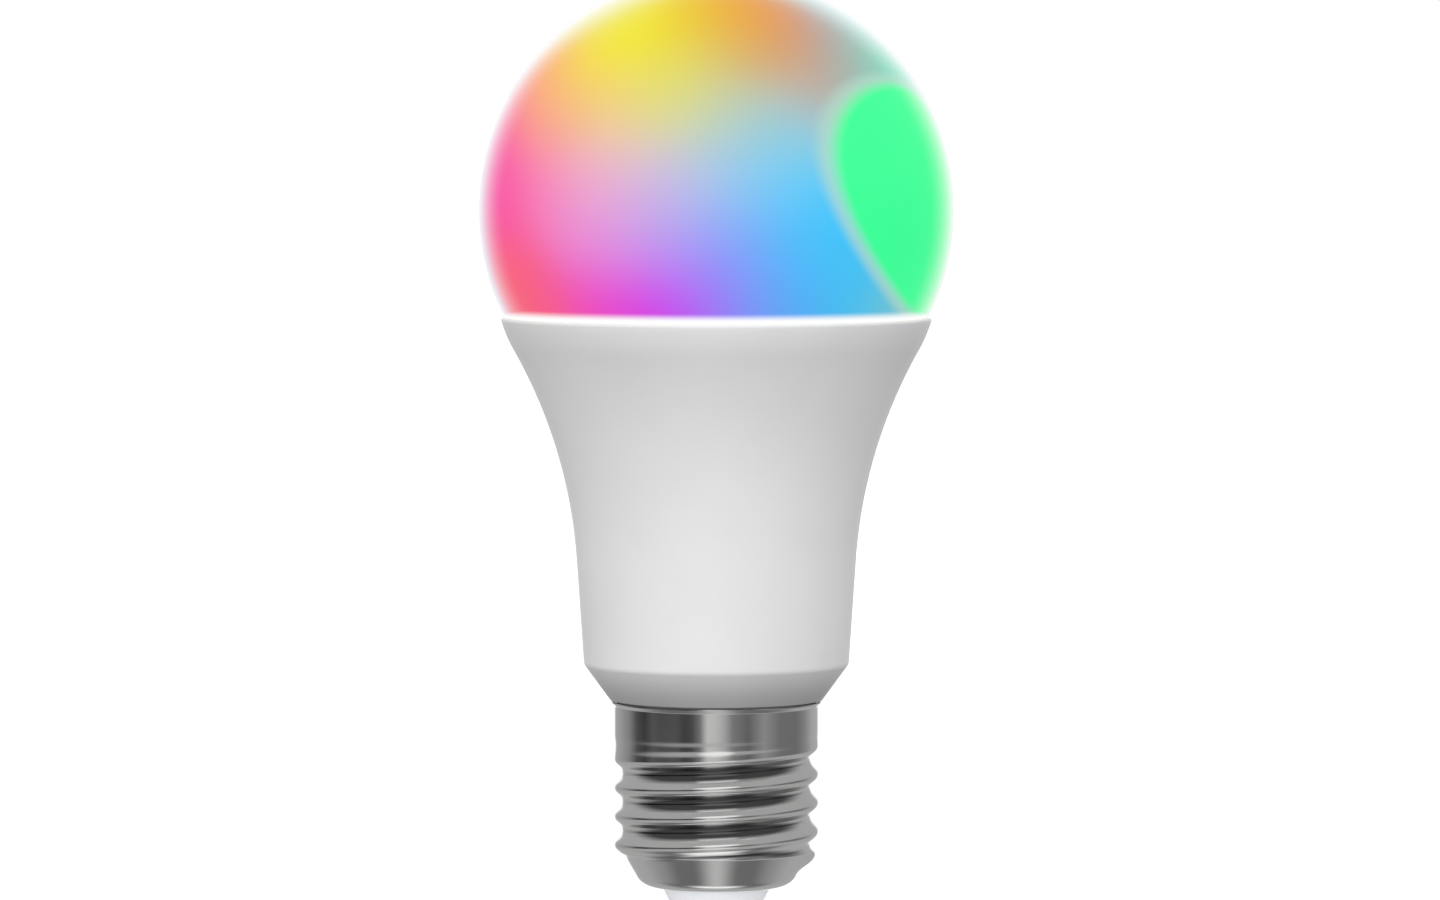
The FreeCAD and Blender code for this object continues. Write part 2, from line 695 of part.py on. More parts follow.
def around_transformer(x_span, y_span, z_span):
    """Block whose spans are counted from the transformer's centre."""
    spans = zip(TRANSFORMER, (x_span, y_span, z_span))
    return block(*[(low + place, high + place) for place, (low, high) in spans])


def transformer_core():
    """Two E-shaped ferrite halves, joined across the middle of their legs."""
    outside = around_transformer((-6.5, 6.5), (-3, 3), (-6, 6))
    windows = [around_transformer(span, (-3, 3), (-4.6, 4.6)) for span in ((-5.0, -1.4), (1.4, 5.0))]
    ferrite = cut_all(outside, windows)
    lower = around_transformer((-6.5, 6.5), (-3, 3), (-6, -0.01))
    upper = around_transformer((-6.5, 6.5), (-3, 3), (0.01, 6))
    return group([ferrite.common(lower), ferrite.common(upper)])


def transformer_bobbin():
    sleeve = around_transformer((-2.1, 2.1), (-3.7, 3.7), (-4.4, 4.4))
    flanges = [around_transformer((-4.8, 4.8), (-5.6, 5.6), span) for span in ((-4.4, -3.7), (3.7, 4.4))]
    bore = around_transformer((-1.5, 1.5), (-3.1, 3.1), (-5, 5))
    return sleeve.fuse(flanges).removeSplitter().cut(bore)


def transformer_winding():
    """Taped winding with rounded corners."""
    outside = around_transformer((-4.5, 4.5), (-5.3, 5.3), (-3.65, 3.65))
    outside = outside.makeFillet(1.2, [edge for edge in outside.Edges if edge.BoundBox.ZLength > 5])
    return outside.cut(around_transformer((-2.15, 2.15), (-3.75, 3.75), (-4, 4)))


def on_back(place, size, lift):
    """Block of size (x, thickness, z) at (x, z) on the back face of the driver board, lifted off it."""
    centre = (place[0], BACK_Y - lift - size[1] / 2, place[1])
    return block_at(centre, size)


def back_chip(name):
    place, size, _ = BACK_CHIPS[name]
    return round_all(on_back(place, size, 0.1), 0.15)


def bent_leg(x, z, side):
    """Flat leg from a chip's end at height z to a foot on the board, pointing up (side 1) or down (-1)."""
    width, sheet, top = 0.4, 0.2, BACK_Y - 0.9
    x_span = (x - width / 2, x + width / 2)
    arm = block(x_span, (top, top + sheet), sorted((z, z + side * 0.6)))
    drop = block(x_span, (top, BACK_Y), sorted((z + side * 0.4, z + side * 0.6)))
    foot = block(x_span, (BACK_Y - sheet, BACK_Y), sorted((z + side * 0.4, z + side * 1.0)))
    return arm.fuse([drop, foot]).removeSplitter()


def chip_legs():
    """Bent legs of the chips on the back face and the two flat tabs of the diode."""
    legs = []
    for (x, z), size, offsets in BACK_CHIPS.values():
        for side in (-1, 1):
            legs += [bent_leg(x + offset, z + side * size[2] / 2, side) for offset in offsets]
    (x, z), size, _ = BACK_CHIPS["output_diode"]
    reach = (size[0] + DIODE_TAB[0]) / 2
    legs += [on_back((x + side * reach, z), DIODE_TAB, 0) for side in (-1, 1)]
    return group(legs)


def driver_chip_resistors():
    places = [(-9, 42), (-9, 45), (-9, 48), (7, 44), (7, 47), (-5, 51.5), (-1, 51.5), (3, 51.5),
              (-8, 59), (-8, 62), (5, 18), (-5, 18), (6, 22)]
    return group([on_back(place, (2.0, 0.5, 1.25), 0) for place in places])


def component_leads():
    """Legs of the parts on the front face, through the driver board to its back."""
    tip_y = BACK_Y - 0.9
    starts = {"varistor": 0.0, "film_capacitor": FRONT_Y + 0.4, "inductor": FRONT_Y + 1.4,
              "transformer": TRANSFORMER[1] - 5.6, "output_capacitor": FRONT_Y + 0.5,
              "standby_capacitor": FRONT_Y + 0.5}
    legs = []
    for name, start_y in starts.items():
        legs += [rod(LEG_R, (x, start_y, z), (x, tip_y, z)) for x, z in LEG_PLACES[name]]
    for x, z in LEG_PLACES["input_capacitor"]:
        legs.append(wire_along([(x, 4.0, 27.2), (x, 4.0, z), (x, tip_y, z)], LEG_R))
    x, z = LEG_PLACES["fusible_resistor"][0]
    legs.append(wire_along([(x, 1.3, 24.0), (x, 1.3, z), (x, tip_y, z)], LEG_R))
    return group(legs)


def solder_joints():
    """Cones of solder round the legs on the back of the driver board."""
    cones = []
    for x, z in leg_places():
        cone = Part.makeCone(0.95, 0.45, 0.7, V(x, BACK_Y, z), -Y_AXIS)
        cones.append(cone.cut(rod(LEG_R + 0.02, (x, BACK_Y + 1, z), (x, BACK_Y - 2, z))))
    return group(cones)


# ---- wiring to the cap ----

def live_lead():
    """Insulated wire from the fusible resistor to the contact, with its bare end in the contact's shank."""
    insulated = wire_along([(0, 0, 5.2), (0, 0, 8.4), (-7.3, 1.3, 10.4), (-7.3, 1.3, 14.5)], LEAD_R)
    bare = rod(0.5, (0, 0, 2.6), (0, 0, 5.2))
    return insulated.fuse(bare).removeSplitter()


def neutral_lead():
    return wire_along([(7.4, FRONT_Y, 16.4), (7.4, 1.2, 16.4), (7.4, 1.2, 11.2), (9.1, 0.4, 9.4)], LEAD_R)


def neutral_solder():
    """Blob that joins the neutral wire to the inside of the screw shell."""
    blob = Part.makeSphere(1.5, V(10.1, 0, 8.9))
    return blob.cut(neutral_lead())


PARTS = {
    "diffuser_globe": diffuser_globe,
    "diffuser_sealant": diffuser_sealant,
    "outer_housing": outer_housing,
    "screw_shell": screw_shell,
    "cap_insulator": cap_insulator,
    "centre_contact": centre_contact,
    "heat_sink_cup": heat_sink_cup,
    "thermal_paste": thermal_paste,
    "led_board": led_board,
    "led_board_screws": led_board_screws,
    "warm_white_leds": lambda: white_leds(0),
    "cool_white_leds": lambda: white_leds(1),
    "rgb_leds": rgb_leds,
    "led_driver_chips": led_driver_chips,
    "led_board_resistors": led_board_resistors,
    "board_socket": board_socket,
    "header_block": header_block,
    "header_pins": header_pins,
    "wireless_board": wireless_board,
    "wireless_chip": wireless_chip,
    "wireless_crystal": wireless_crystal,
    "wireless_shield": wireless_shield,
    "antenna_trace": antenna_trace,
    "wireless_pins": wireless_pins,
    "driver_board": driver_board,
    "driver_sleeve": driver_sleeve,
    "input_capacitor": input_capacitor,
    "output_capacitor": output_capacitor,
    "standby_capacitor": standby_capacitor,
    "transformer_core": transformer_core,
    "transformer_bobbin": transformer_bobbin,
    "transformer_winding": transformer_winding,
    "inductor_core": inductor_core,
    "inductor_winding": inductor_winding,
    "bridge_rectifier": lambda: back_chip("bridge_rectifier"),
    "controller_chip": lambda: back_chip("controller_chip"),
    "regulator_chip": lambda: back_chip("regulator_chip"),
    "output_diode": lambda: back_chip("output_diode"),
    "fusible_resistor": fusible_resistor,
    "varistor": varistor,
    "film_capacitor": film_capacitor,
    "driver_chip_resistors": driver_chip_resistors,
    "component_leads": component_leads,
    "chip_legs": chip_legs,
    "solder_joints": solder_joints,
    "live_lead": live_lead,
    "neutral_lead": neutral_lead,
    "neutral_solder": neutral_solder,
}


def main():
    os.makedirs("parts", exist_ok=True)
    for name, make in PARTS.items():
        shape = make()
        print(f"{name}: {len(shape.Solids)} solids, {shape.Volume:.1f} mm3, valid {shape.isValid()}")
        shape.exportStep(f"parts/{name}.step")


main()
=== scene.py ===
import bmesh
import bpy
import json
import math
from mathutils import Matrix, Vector

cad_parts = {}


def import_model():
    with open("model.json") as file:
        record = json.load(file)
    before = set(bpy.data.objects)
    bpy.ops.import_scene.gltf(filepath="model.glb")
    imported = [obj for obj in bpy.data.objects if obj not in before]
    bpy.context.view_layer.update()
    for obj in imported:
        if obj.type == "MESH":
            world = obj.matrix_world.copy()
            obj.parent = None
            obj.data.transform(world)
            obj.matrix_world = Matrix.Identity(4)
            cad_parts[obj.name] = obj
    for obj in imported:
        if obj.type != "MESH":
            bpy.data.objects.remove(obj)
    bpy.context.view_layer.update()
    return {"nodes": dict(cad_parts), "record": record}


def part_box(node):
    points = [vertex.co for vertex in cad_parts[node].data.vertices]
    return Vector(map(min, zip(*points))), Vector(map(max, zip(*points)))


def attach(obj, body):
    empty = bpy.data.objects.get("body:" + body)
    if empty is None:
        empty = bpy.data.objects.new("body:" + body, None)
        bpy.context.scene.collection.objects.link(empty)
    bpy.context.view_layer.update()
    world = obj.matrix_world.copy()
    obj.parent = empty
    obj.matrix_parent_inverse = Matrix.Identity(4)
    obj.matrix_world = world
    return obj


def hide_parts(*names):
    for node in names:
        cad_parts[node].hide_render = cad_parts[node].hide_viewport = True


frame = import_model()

# A lit colour light bulb: its outside skins are rebuilt here as smooth dense meshes of the CAD shapes, and
# every piece gets its finish. Metres throughout. -Y is the front and +Z runs up to the globe.

MM = 0.001

# ---- places read from the frame ----

GLOBE_LOW, GLOBE_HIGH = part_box("diffuser_globe")
GLOBE_R = (GLOBE_HIGH.x - GLOBE_LOW.x) / 2
GLOBE_Z = GLOBE_HIGH.z - GLOBE_R
SKIRT_Z = GLOBE_LOW.z
SEAL_LOW, SEAL_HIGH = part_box("diffuser_sealant")
SEAM_Z = SEAL_HIGH.z
HOUSING_LOW, HOUSING_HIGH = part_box("outer_housing")
LIP_Z = HOUSING_HIGH.z
SHELL_LOW, SHELL_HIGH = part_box("screw_shell")
RIM_Z = SHELL_LOW.z
FLARE_R = SHELL_HIGH.x
INSULATOR_LOW, INSULATOR_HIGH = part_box("cap_insulator")
CONTACT_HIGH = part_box("centre_contact")[1]

# ---- sizes of the outside skins ----
# They are the CAD model's, apart from the screw shell's taper, lower rim, lead groove and flare.

AROUND = 288                 # faces round a turned piece
SHELL_AROUND = 400           # faces round the threaded shell
CREASE = math.radians(32)    # edges sharper than this stay crisp

GLOBE_WALL = 1.6 * MM
GLOBE_POINTS = 150           # along the outside arc, from the seam to the crown
GLOBE_INSIDE_POINTS = 90
GLOBE_INSIDE_RISE = 1.7 * MM     # the inside arc starts this far above the seam
GLOBE_FOOT_ROUNDING = 0.25 * MM
SKIRT_R = 24.95 * MM
SKIRT_WALL = 1.2 * MM
SKIRT_BORE_DROP = 0.4 * MM   # the skirt's bore ends this far below the seam
SEAL_GAP = 0.02 * MM

DRAFT = math.radians(3.9)
FLARE = math.radians(29.4)
NECK_R = 16.78 * MM
NECK_Z = 31.8 * MM
NECK_ROUNDING = 1.2 * MM
STRAIGHT_TOP_Z = 45.0 * MM
HOLLOW_R = 62.9 * MM
SHOULDER_R = 18.3 * MM
SIDE_POINTS = 130
WALL = 1.4 * MM
WALL_POINTS = 60
CONE_R = 13.5 * MM
CONE_Z = 27.3 * MM
CONE_ROUNDING = 0.15 * MM
LIP_BORE_R = 25.35 * MM
LIP_ROUNDING = 0.3 * MM
LIP_DEPTH = 1 * MM           # the side's last point stands this far below the lip
LEDGE_Z = 72.9 * MM
NECK_BORE_R = 10.4 * MM
NECK_BORE_TOP_Z = 28.5 * MM
THREAD_NECK_R = 11.5 * MM
COLLAR_NECK_R = 12.6 * MM
NECK_STEP_Z = (21.6 * MM, 22.4 * MM)   # the neck widens from the thread's bore to the collar's

PITCH = 3.629 * MM
CREST_R = 13.05 * MM
ROOT_R = 12.05 * MM
CREST_Z = 14.31 * MM         # height of a crest on the +X side
BLUNTNESS = 0.15             # how much blunter than a cosine the crests and roots are
RUN_IN_TURN = 0.25           # where the top groove starts, in turns from +X
RUN_IN_EDGE_Z = 18.85 * MM
RUN_IN_FADE = (0.83, 1.0)    # the share of the groove's last turn in which it grows shallow
RUN_OUT_Z = (6.75 * MM, 7.1 * MM)      # the last crest fades out between these heights
LEAD_DEPTH = 0.11 * MM       # faint groove above the first full one
LEAD_HEIGHT = 1.8 * MM       # it fades out over this height below the collar
TAPER = math.radians(30)
TAPER_Z = 8.0 * MM
THREAD_POINTS = 300
COLLAR_Z = 23.4 * MM
COLLAR_ROUNDING = 0.15 * MM
FLARE_Z = (26.5 * MM, 27.0 * MM)
FLARE_ROUNDING = 0.2 * MM
SHEET = 0.35 * MM
RIM_HOLE_R = 7.1 * MM
RIM_ROUNDING = 2.4 * MM
FLOOR_INSET = 0.3 * MM       # the inside floor ends this far in from the taper's foot

CONTACT_SEAT_Z = 2.1 * MM
SEAT_R = 4.9 * MM
TIP_R = 5.85 * MM
TIP_ROUNDING = (0.2 * MM, 0.3 * MM)    # of the tip's inner and outer edge
NECK_GAP = 0.1 * MM          # between the insulator and the sheet round it
INSULATOR_BORE_R = 1.25 * MM
FLANGE_R = (8.6 * MM, 7.6 * MM)        # at its edge and at its top
FLANGE_HEIGHT = (0.55 * MM, 1.55 * MM)
DISH_R = (3.0 * MM, 2.4 * MM)
BUTTON_FLAT_R = 3.4 * MM
BUTTON_ROUNDING = 0.1 * MM
SHANK_R = 1.2 * MM
SHANK_BORE_R = 0.55 * MM


# ---- shapes ----

def fade(value, low, high):
    """0 below the span, 1 above it and smooth between."""
    share = min(max((value - low) / (high - low), 0), 1)
    return share * share * (3 - 2 * share)


def spread(start, end, count):
    """Evenly spaced numbers from start to end, both included."""
    return [start + (end - start) * index / (count - 1) for index in range(count)]


def arc(centre, radius, start, end, count):
    """Points on a circle in (radius, height), between two angles from the outward direction, in radians."""
    return [(centre[0] + radius * math.cos(angle), centre[1] + radius * math.sin(angle))
            for angle in spread(start, end, count)]


def rounded(before, corner, after, radius, count=7):
    """Points of the arc that rounds a corner of an outline."""
    before, corner, after = Vector(before), Vector(corner), Vector(after)
    arriving, leaving = (corner - before).normalized(), (after - corner).normalized()
    half_turn = arriving.angle(leaving) / 2
    reach = radius * math.tan(half_turn)
    centre = corner + (leaving - arriving).normalized() * (radius / math.cos(half_turn))
    from_centre = corner - arriving * reach - centre
    turn = math.copysign(2 * half_turn, arriving.x * leaving.y - arriving.y * leaving.x)
    start = math.atan2(from_centre.y, from_centre.x)
    return arc(centre, radius, start, start + turn, count)


def skin(name, outline_at, columns):
    """Closed solid round Z. outline_at gives the closed (radius, height) outline at an angle."""
    mesh = bmesh.new()
    outlines = [outline_at(2 * math.pi * column / columns) for column in range(columns)]
    rings = []
    for row in range(len(outlines[0])):
        if outlines[0][row][0] == 0:
            rings.append([mesh.verts.new((0, 0, outlines[0][row][1]))] * columns)
            continue
        ring = []
        for column, outline in enumerate(outlines):
            angle = 2 * math.pi * column / columns
            radius, height = outline[row]
            ring.append(mesh.verts.new((radius * math.cos(angle), radius * math.sin(angle), height)))
        rings.append(ring)
    for ring, above in zip(rings, rings[1:] + rings[:1]):
        for column in range(columns):
            beside = (column + 1) % columns
            corners = [ring[column], ring[beside], above[beside], above[column]]
            corners = list(dict.fromkeys(corners))
            if len(corners) > 2:
                mesh.faces.new(corners)
    bmesh.ops.recalc_face_normals(mesh, faces=mesh.faces)
    return finished_piece(name, mesh)


def finished_piece(name, mesh):
    """Object of a built mesh, smooth but for its creases."""
    data = bpy.data.meshes.new(name)
    mesh.to_mesh(data)
    mesh.free()
    data.shade_smooth()
    data.set_sharp_from_angle(angle=CREASE)
    piece = bpy.data.objects.new(name, data)
    bpy.context.scene.collection.objects.link(piece)
    return piece


def turned(name, outline):
    """Closed solid whose outline is the same all round."""
    return skin(name, lambda angle: outline, AROUND)


def ball_arc(radius, foot_z, count):
    """Outline of a ball about the globe's centre from a height up to its crown."""
    foot = math.asin((foot_z - GLOBE_Z) / radius)
    points = arc((0, GLOBE_Z), radius, foot, math.pi / 2, count)
    return points[:-1] + [(0, GLOBE_Z + radius)]


def globe():
    """Hollow ball with a narrower skirt that goes down into the housing."""
    bore_r = SKIRT_R - SKIRT_WALL
    outer = ball_arc(GLOBE_R, SEAM_Z, GLOBE_POINTS)
    inner = ball_arc(GLOBE_R - GLOBE_WALL, SEAM_Z + GLOBE_INSIDE_RISE, GLOBE_INSIDE_POINTS)[::-1]
    foot = rounded((SKIRT_R, SEAM_Z), outer[0], outer[4], GLOBE_FOOT_ROUNDING)
    skirt = [(bore_r, SEAM_Z - SKIRT_BORE_DROP), (bore_r, SKIRT_Z), (SKIRT_R, SKIRT_Z), (SKIRT_R, SEAM_Z)]
    return turned("globe_skin", foot + outer[2:] + inner + skirt)


def sealant():
    """Bead that fills the groove beside the skirt and bulges a little between lip and globe."""
    low_z = SEAL_LOW.z
    inner_r, outer_r = SKIRT_R + SEAL_GAP, LIP_BORE_R - SEAL_GAP
    middle_z, bulge_r = (LIP_Z + SEAM_Z) / 2, (SEAM_Z - LIP_Z) / 2
    bulge = arc((SEAL_HIGH.x - bulge_r, middle_z), bulge_r, -math.pi / 2, math.pi / 2, 9)
    below = [(inner_r, low_z), (outer_r, low_z), (outer_r, LIP_Z)]
    return turned("sealant_bead", below + bulge + [(inner_r, SEAM_Z)])


def housing_centres():
    """Where the housing's straight, hollow and round stretches meet, and the two arc centres."""
    straight_end = Vector((NECK_R + (STRAIGHT_TOP_Z - NECK_Z) * math.tan(DRAFT), STRAIGHT_TOP_Z))
    hollow_centre = straight_end + HOLLOW_R * Vector((math.cos(DRAFT), -math.sin(DRAFT)))
    hollow_end = hollow_centre - HOLLOW_R * Vector((math.cos(FLARE), -math.sin(FLARE)))
    round_centre = hollow_end - SHOULDER_R * Vector((math.cos(FLARE), -math.sin(FLARE)))
    return straight_end, hollow_end, hollow_centre, round_centre


def housing_r(z, inset=0):
    """Radius of the housing's outside at a height, or of a surface set in from it."""
    straight_end, hollow_end, hollow_centre, round_centre = housing_centres()
    if z <= straight_end.y + inset * math.sin(DRAFT):
        return straight_end.x - inset / math.cos(DRAFT) - (straight_end.y - z) * math.tan(DRAFT)
    if z <= hollow_end.y + inset * math.sin(FLARE):
        return hollow_centre.x - math.sqrt((HOLLOW_R + inset) ** 2 - (z - hollow_centre.y) ** 2)
    return round_centre.x + math.sqrt((SHOULDER_R - inset) ** 2 - (z - round_centre.y) ** 2)


def housing():
    """Turned shell: threaded neck, cone, drafted body that flares to a shoulder, and a rolled lip."""
    neck_z = HOUSING_LOW.z
    neck = [(NECK_BORE_R, neck_z), (THREAD_NECK_R, neck_z), (THREAD_NECK_R, NECK_STEP_Z[0]),
            (COLLAR_NECK_R, NECK_STEP_Z[1]), (COLLAR_NECK_R, CONE_Z)]
    cone_foot = rounded((COLLAR_NECK_R, CONE_Z), (CONE_R, CONE_Z), (NECK_R, NECK_Z), CONE_ROUNDING)
    side_z = 1.1 * NECK_Z
    corner = rounded((CONE_R, CONE_Z), (NECK_R, NECK_Z), (housing_r(side_z), side_z), NECK_ROUNDING, 12)
    side_heights = spread(corner[-1][1], LIP_Z - LIP_DEPTH, SIDE_POINTS)[1:]
    side = [(housing_r(z), z) for z in side_heights]
    lip = rounded(side[-1], (housing_r(LIP_Z), LIP_Z), (LIP_BORE_R, LIP_Z), LIP_ROUNDING)
    mouth = [(LIP_BORE_R, LIP_Z), (LIP_BORE_R, LEDGE_Z)]
    inside = [(housing_r(z, WALL), z) for z in spread(LEDGE_Z, NECK_Z + WALL, WALL_POINTS)]
    throat = [(NECK_BORE_R, NECK_BORE_TOP_Z)]
    return turned("housing_skin", neck + cone_foot + corner + side + lip + mouth + inside + throat)


def taper_r(z):
    """Root radius at a height: it narrows towards the rim."""
    return min(ROOT_R, ROOT_R + (z - TAPER_Z) * math.tan(TAPER))


def thread_r(angle, z):
    """Outside radius of the threaded stretch. The top groove runs out into the collar, the last crest into
    the taper."""
    turn = angle / (2 * math.pi)
    turns_up = (z - CREST_Z) / PITCH - turn
    wave = math.cos(2 * math.pi * turns_up)
    wave = (1 + BLUNTNESS) * wave - BLUNTNESS * wave ** 3
    crest_z = CREST_Z + (turn + round(turns_up)) * PITCH
    past_start = (turn - RUN_IN_TURN) % 1
    turns_down = (RUN_IN_EDGE_Z - z) / PITCH + past_start
    depth = CREST_R - ROOT_R
    if turns_down < 0:
        depth = LEAD_DEPTH * fade(COLLAR_Z - z, 0, LEAD_HEIGHT)
    elif turns_down < 1:
        depth += (LEAD_DEPTH - depth) * fade(past_start, *RUN_IN_FADE)
    height = CREST_R - ROOT_R - depth * (1 - wave) / 2
    return taper_r(z) + height * fade(crest_z, *RUN_OUT_Z)


def shell_outline(angle):
    """Outline of the rolled sheet at an angle: up its outside from the rim hole and down its inside."""
    cone_foot = (taper_r(RIM_Z), RIM_Z)
    cone_z = RIM_Z + 1 * MM
    rim = [(RIM_HOLE_R, RIM_Z)]
    rim += rounded((RIM_HOLE_R, RIM_Z), cone_foot, (taper_r(cone_z), cone_z), RIM_ROUNDING, 24)
    thread_heights = spread(rim[-1][1], COLLAR_Z, THREAD_POINTS)[1:]
    thread = [(thread_r(angle, z), z) for z in thread_heights]
    flare_start, flare_end = (CREST_R, FLARE_Z[0]), (FLARE_R, FLARE_Z[1])
    flare = rounded((CREST_R, COLLAR_Z), flare_start, flare_end, COLLAR_ROUNDING)
    flare += rounded(flare_start, flare_end, (FLARE_R, SHELL_HIGH.z), FLARE_ROUNDING)
    edge = arc((FLARE_R - SHEET / 2, SHELL_HIGH.z - SHEET / 2), SHEET / 2, 0, math.pi, 9)
    outside = rim + thread + flare + edge
    inside = [(r - SHEET, z) for r, z in (flare[::-1] + thread[::-4])]
    floor_z = RIM_Z + SHEET
    return outside + inside + [(cone_foot[0] - FLOOR_INSET, floor_z), (RIM_HOLE_R, floor_z)]


def screw_shell():
    """Rolled sheet with its thread, collar and flared top edge."""
    return skin("screw_shell_skin", shell_outline, SHELL_AROUND)


def insulator():
    """Pale cone in the rim's hole, with a seat for the contact and a flange inside the shell."""
    tip_z, top_z = INSULATOR_LOW.z, INSULATOR_HIGH.z
    neck_r = RIM_HOLE_R - NECK_GAP
    flange_z = RIM_Z + SHEET + NECK_GAP
    flange_edge_z, flange_top_z = (flange_z + height for height in FLANGE_HEIGHT)
    inner_edge = rounded((SEAT_R, CONTACT_SEAT_Z), (SEAT_R, tip_z), (TIP_R, tip_z), TIP_ROUNDING[0])
    outer_edge = rounded((SEAT_R, tip_z), (TIP_R, tip_z), (neck_r, RIM_Z), TIP_ROUNDING[1])
    flange = [(neck_r, RIM_Z), (neck_r, flange_z), (FLANGE_R[0], flange_z), (FLANGE_R[0], flange_edge_z),
              (FLANGE_R[1], flange_top_z)]
    dish = [(DISH_R[0], flange_top_z), (DISH_R[1], top_z), (INSULATOR_BORE_R, top_z)]
    seat = [(INSULATOR_BORE_R, CONTACT_SEAT_Z), (SEAT_R, CONTACT_SEAT_Z)]
    return turned("insulator_cone", inner_edge + outer_edge + flange + dish + seat)


def contact():
    """Soft-edged button with a hollow shank."""
    radius, top_z = CONTACT_HIGH.x, CONTACT_HIGH.z
    rim_r = radius - BUTTON_FLAT_R
    bottom = [(0, 0)] + [(BUTTON_FLAT_R * share, 0) for share in (0.4, 0.8)]
    rim = arc((BUTTON_FLAT_R, rim_r), rim_r, -math.pi / 2, 0, 14)
    shank_foot = (SHANK_R, CONTACT_SEAT_Z)
    top = rounded((radius, rim_r), (radius, CONTACT_SEAT_Z), shank_foot, BUTTON_ROUNDING)
    shank = [shank_foot, (SHANK_R, top_z), (SHANK_BORE_R, top_z), (SHANK_BORE_R, CONTACT_SEAT_Z),
             (0, CONTACT_SEAT_Z)]
    return turned("contact_button", bottom + rim + top + shank)


# ---- shader nodes ----

class Graph:
    """Adds nodes to a tree. Each call returns the socket that carries its result.

    An input may be a socket, a number or a tuple."""

    def __init__(self, tree):
        self.tree = tree

    def node(self, kind, inputs=(), **settings):
        node = self.tree.nodes.new(kind)
        for name, value in settings.items():
            setattr(node, name, value)
        for place, value in dict(inputs).items():
            self.give(node.inputs[place], value)
        return node

    def give(self, socket, value):
        if isinstance(value, bpy.types.NodeSocket):
            self.tree.links.new(value, socket)
        else:
            socket.default_value = value

    def math(self, operation, *values):
        return self.node("ShaderNodeMath", enumerate(values), operation=operation).outputs[0]

    def vector(self, operation, *values):
        """Vector result of a vector operation."""
        return self.node("ShaderNodeVectorMath", enumerate(values), operation=operation).outputs["Vector"]

    def measure(self, operation, *values):
        """Number result of a vector operation, such as a dot product or a length."""
        return self.node("ShaderNodeVectorMath", enumerate(values), operation=operation).outputs["Value"]

    def scaled(self, vector, factor):
        node = self.node("ShaderNodeVectorMath", {"Vector": vector, "Scale": factor}, operation="SCALE")
        return node.outputs["Vector"]

    def step(self, value, low, high, bottom=0.0, top=1.0):
        """Smooth step from bottom to top while the value goes from low to high."""
        inputs = {"Value": value, "From Min": low, "From Max": high, "To Min": bottom, "To Max": top}
        return self.node("ShaderNodeMapRange", inputs, interpolation_type="SMOOTHSTEP").outputs["Result"]

    def mix(self, factor, first, second):
        """Colour between two colours."""
        node = self.node("ShaderNodeMix", data_type="RGBA")
        self.give(node.inputs["Factor"], factor)
        self.give(node.inputs[6], first)
        self.give(node.inputs[7], second)
        return node.outputs[2]

    def noise(self, place, scale, detail=3.0, roughness=0.5):
        inputs = {"Vector": place, "Scale": scale, "Detail": detail, "Roughness": roughness}
        return self.node("ShaderNodeTexNoise", inputs).outputs["Fac"]

    def parts(self, vector):
        """X, Y and Z of a vector."""
        return self.node("ShaderNodeSeparateXYZ", {"Vector": vector}).outputs

    def joined(self, x, y, z=0.0):
        return self.node("ShaderNodeCombineXYZ", {"X": x, "Y": y, "Z": z}).outputs["Vector"]

    def from_axis(self, place):
        """Distance of a place from the bulb's axis."""
        parts = self.parts(place)
        return self.measure("LENGTH", self.joined(parts["X"], parts["Y"]))

    def facing(self):
        """0 where the surface is seen square on, rising to 1 at a glancing angle."""
        return self.node("ShaderNodeLayerWeight", {"Blend": 0.5}).outputs["Facing"]

    def product(self, *values):
        result = values[0]
        for value in values[1:]:
            result = self.math("MULTIPLY", result, value)
        return result

    def object_place(self):
        return self.node("ShaderNodeTexCoord").outputs["Object"]

    def bump(self, height, distance, strength=1.0):
        inputs = {"Height": height, "Distance": distance, "Strength": strength}
        return self.node("ShaderNodeBump", inputs).outputs["Normal"]


def linear(srgb):
    """Scene colour of a display colour given as 0 to 255."""
    parts = [value / 255 for value in srgb]
    parts = [part / 12.92 if part <= 0.04045 else ((part + 0.055) / 1.055) ** 2.4 for part in parts]
    return (*parts, 1.0)


def grey(level):
    return (level, level, level, 1.0)


WHITE = grey(1.0)
FINISHES = {}                # material of each slot


def material(slot, **constants):
    """Makes a slot's material. Gives its graph and its Principled shader with those constants set."""
    made = bpy.data.materials.new("look_" + slot)
    FINISHES[slot] = made
    made.use_nodes = True
    shader = made.node_tree.nodes["Principled BSDF"]
    for socket, value in constants.items():
        shader.inputs[socket.replace("_", " ")].default_value = value
    return Graph(made.node_tree), shader


# ---- the globe's colours ----

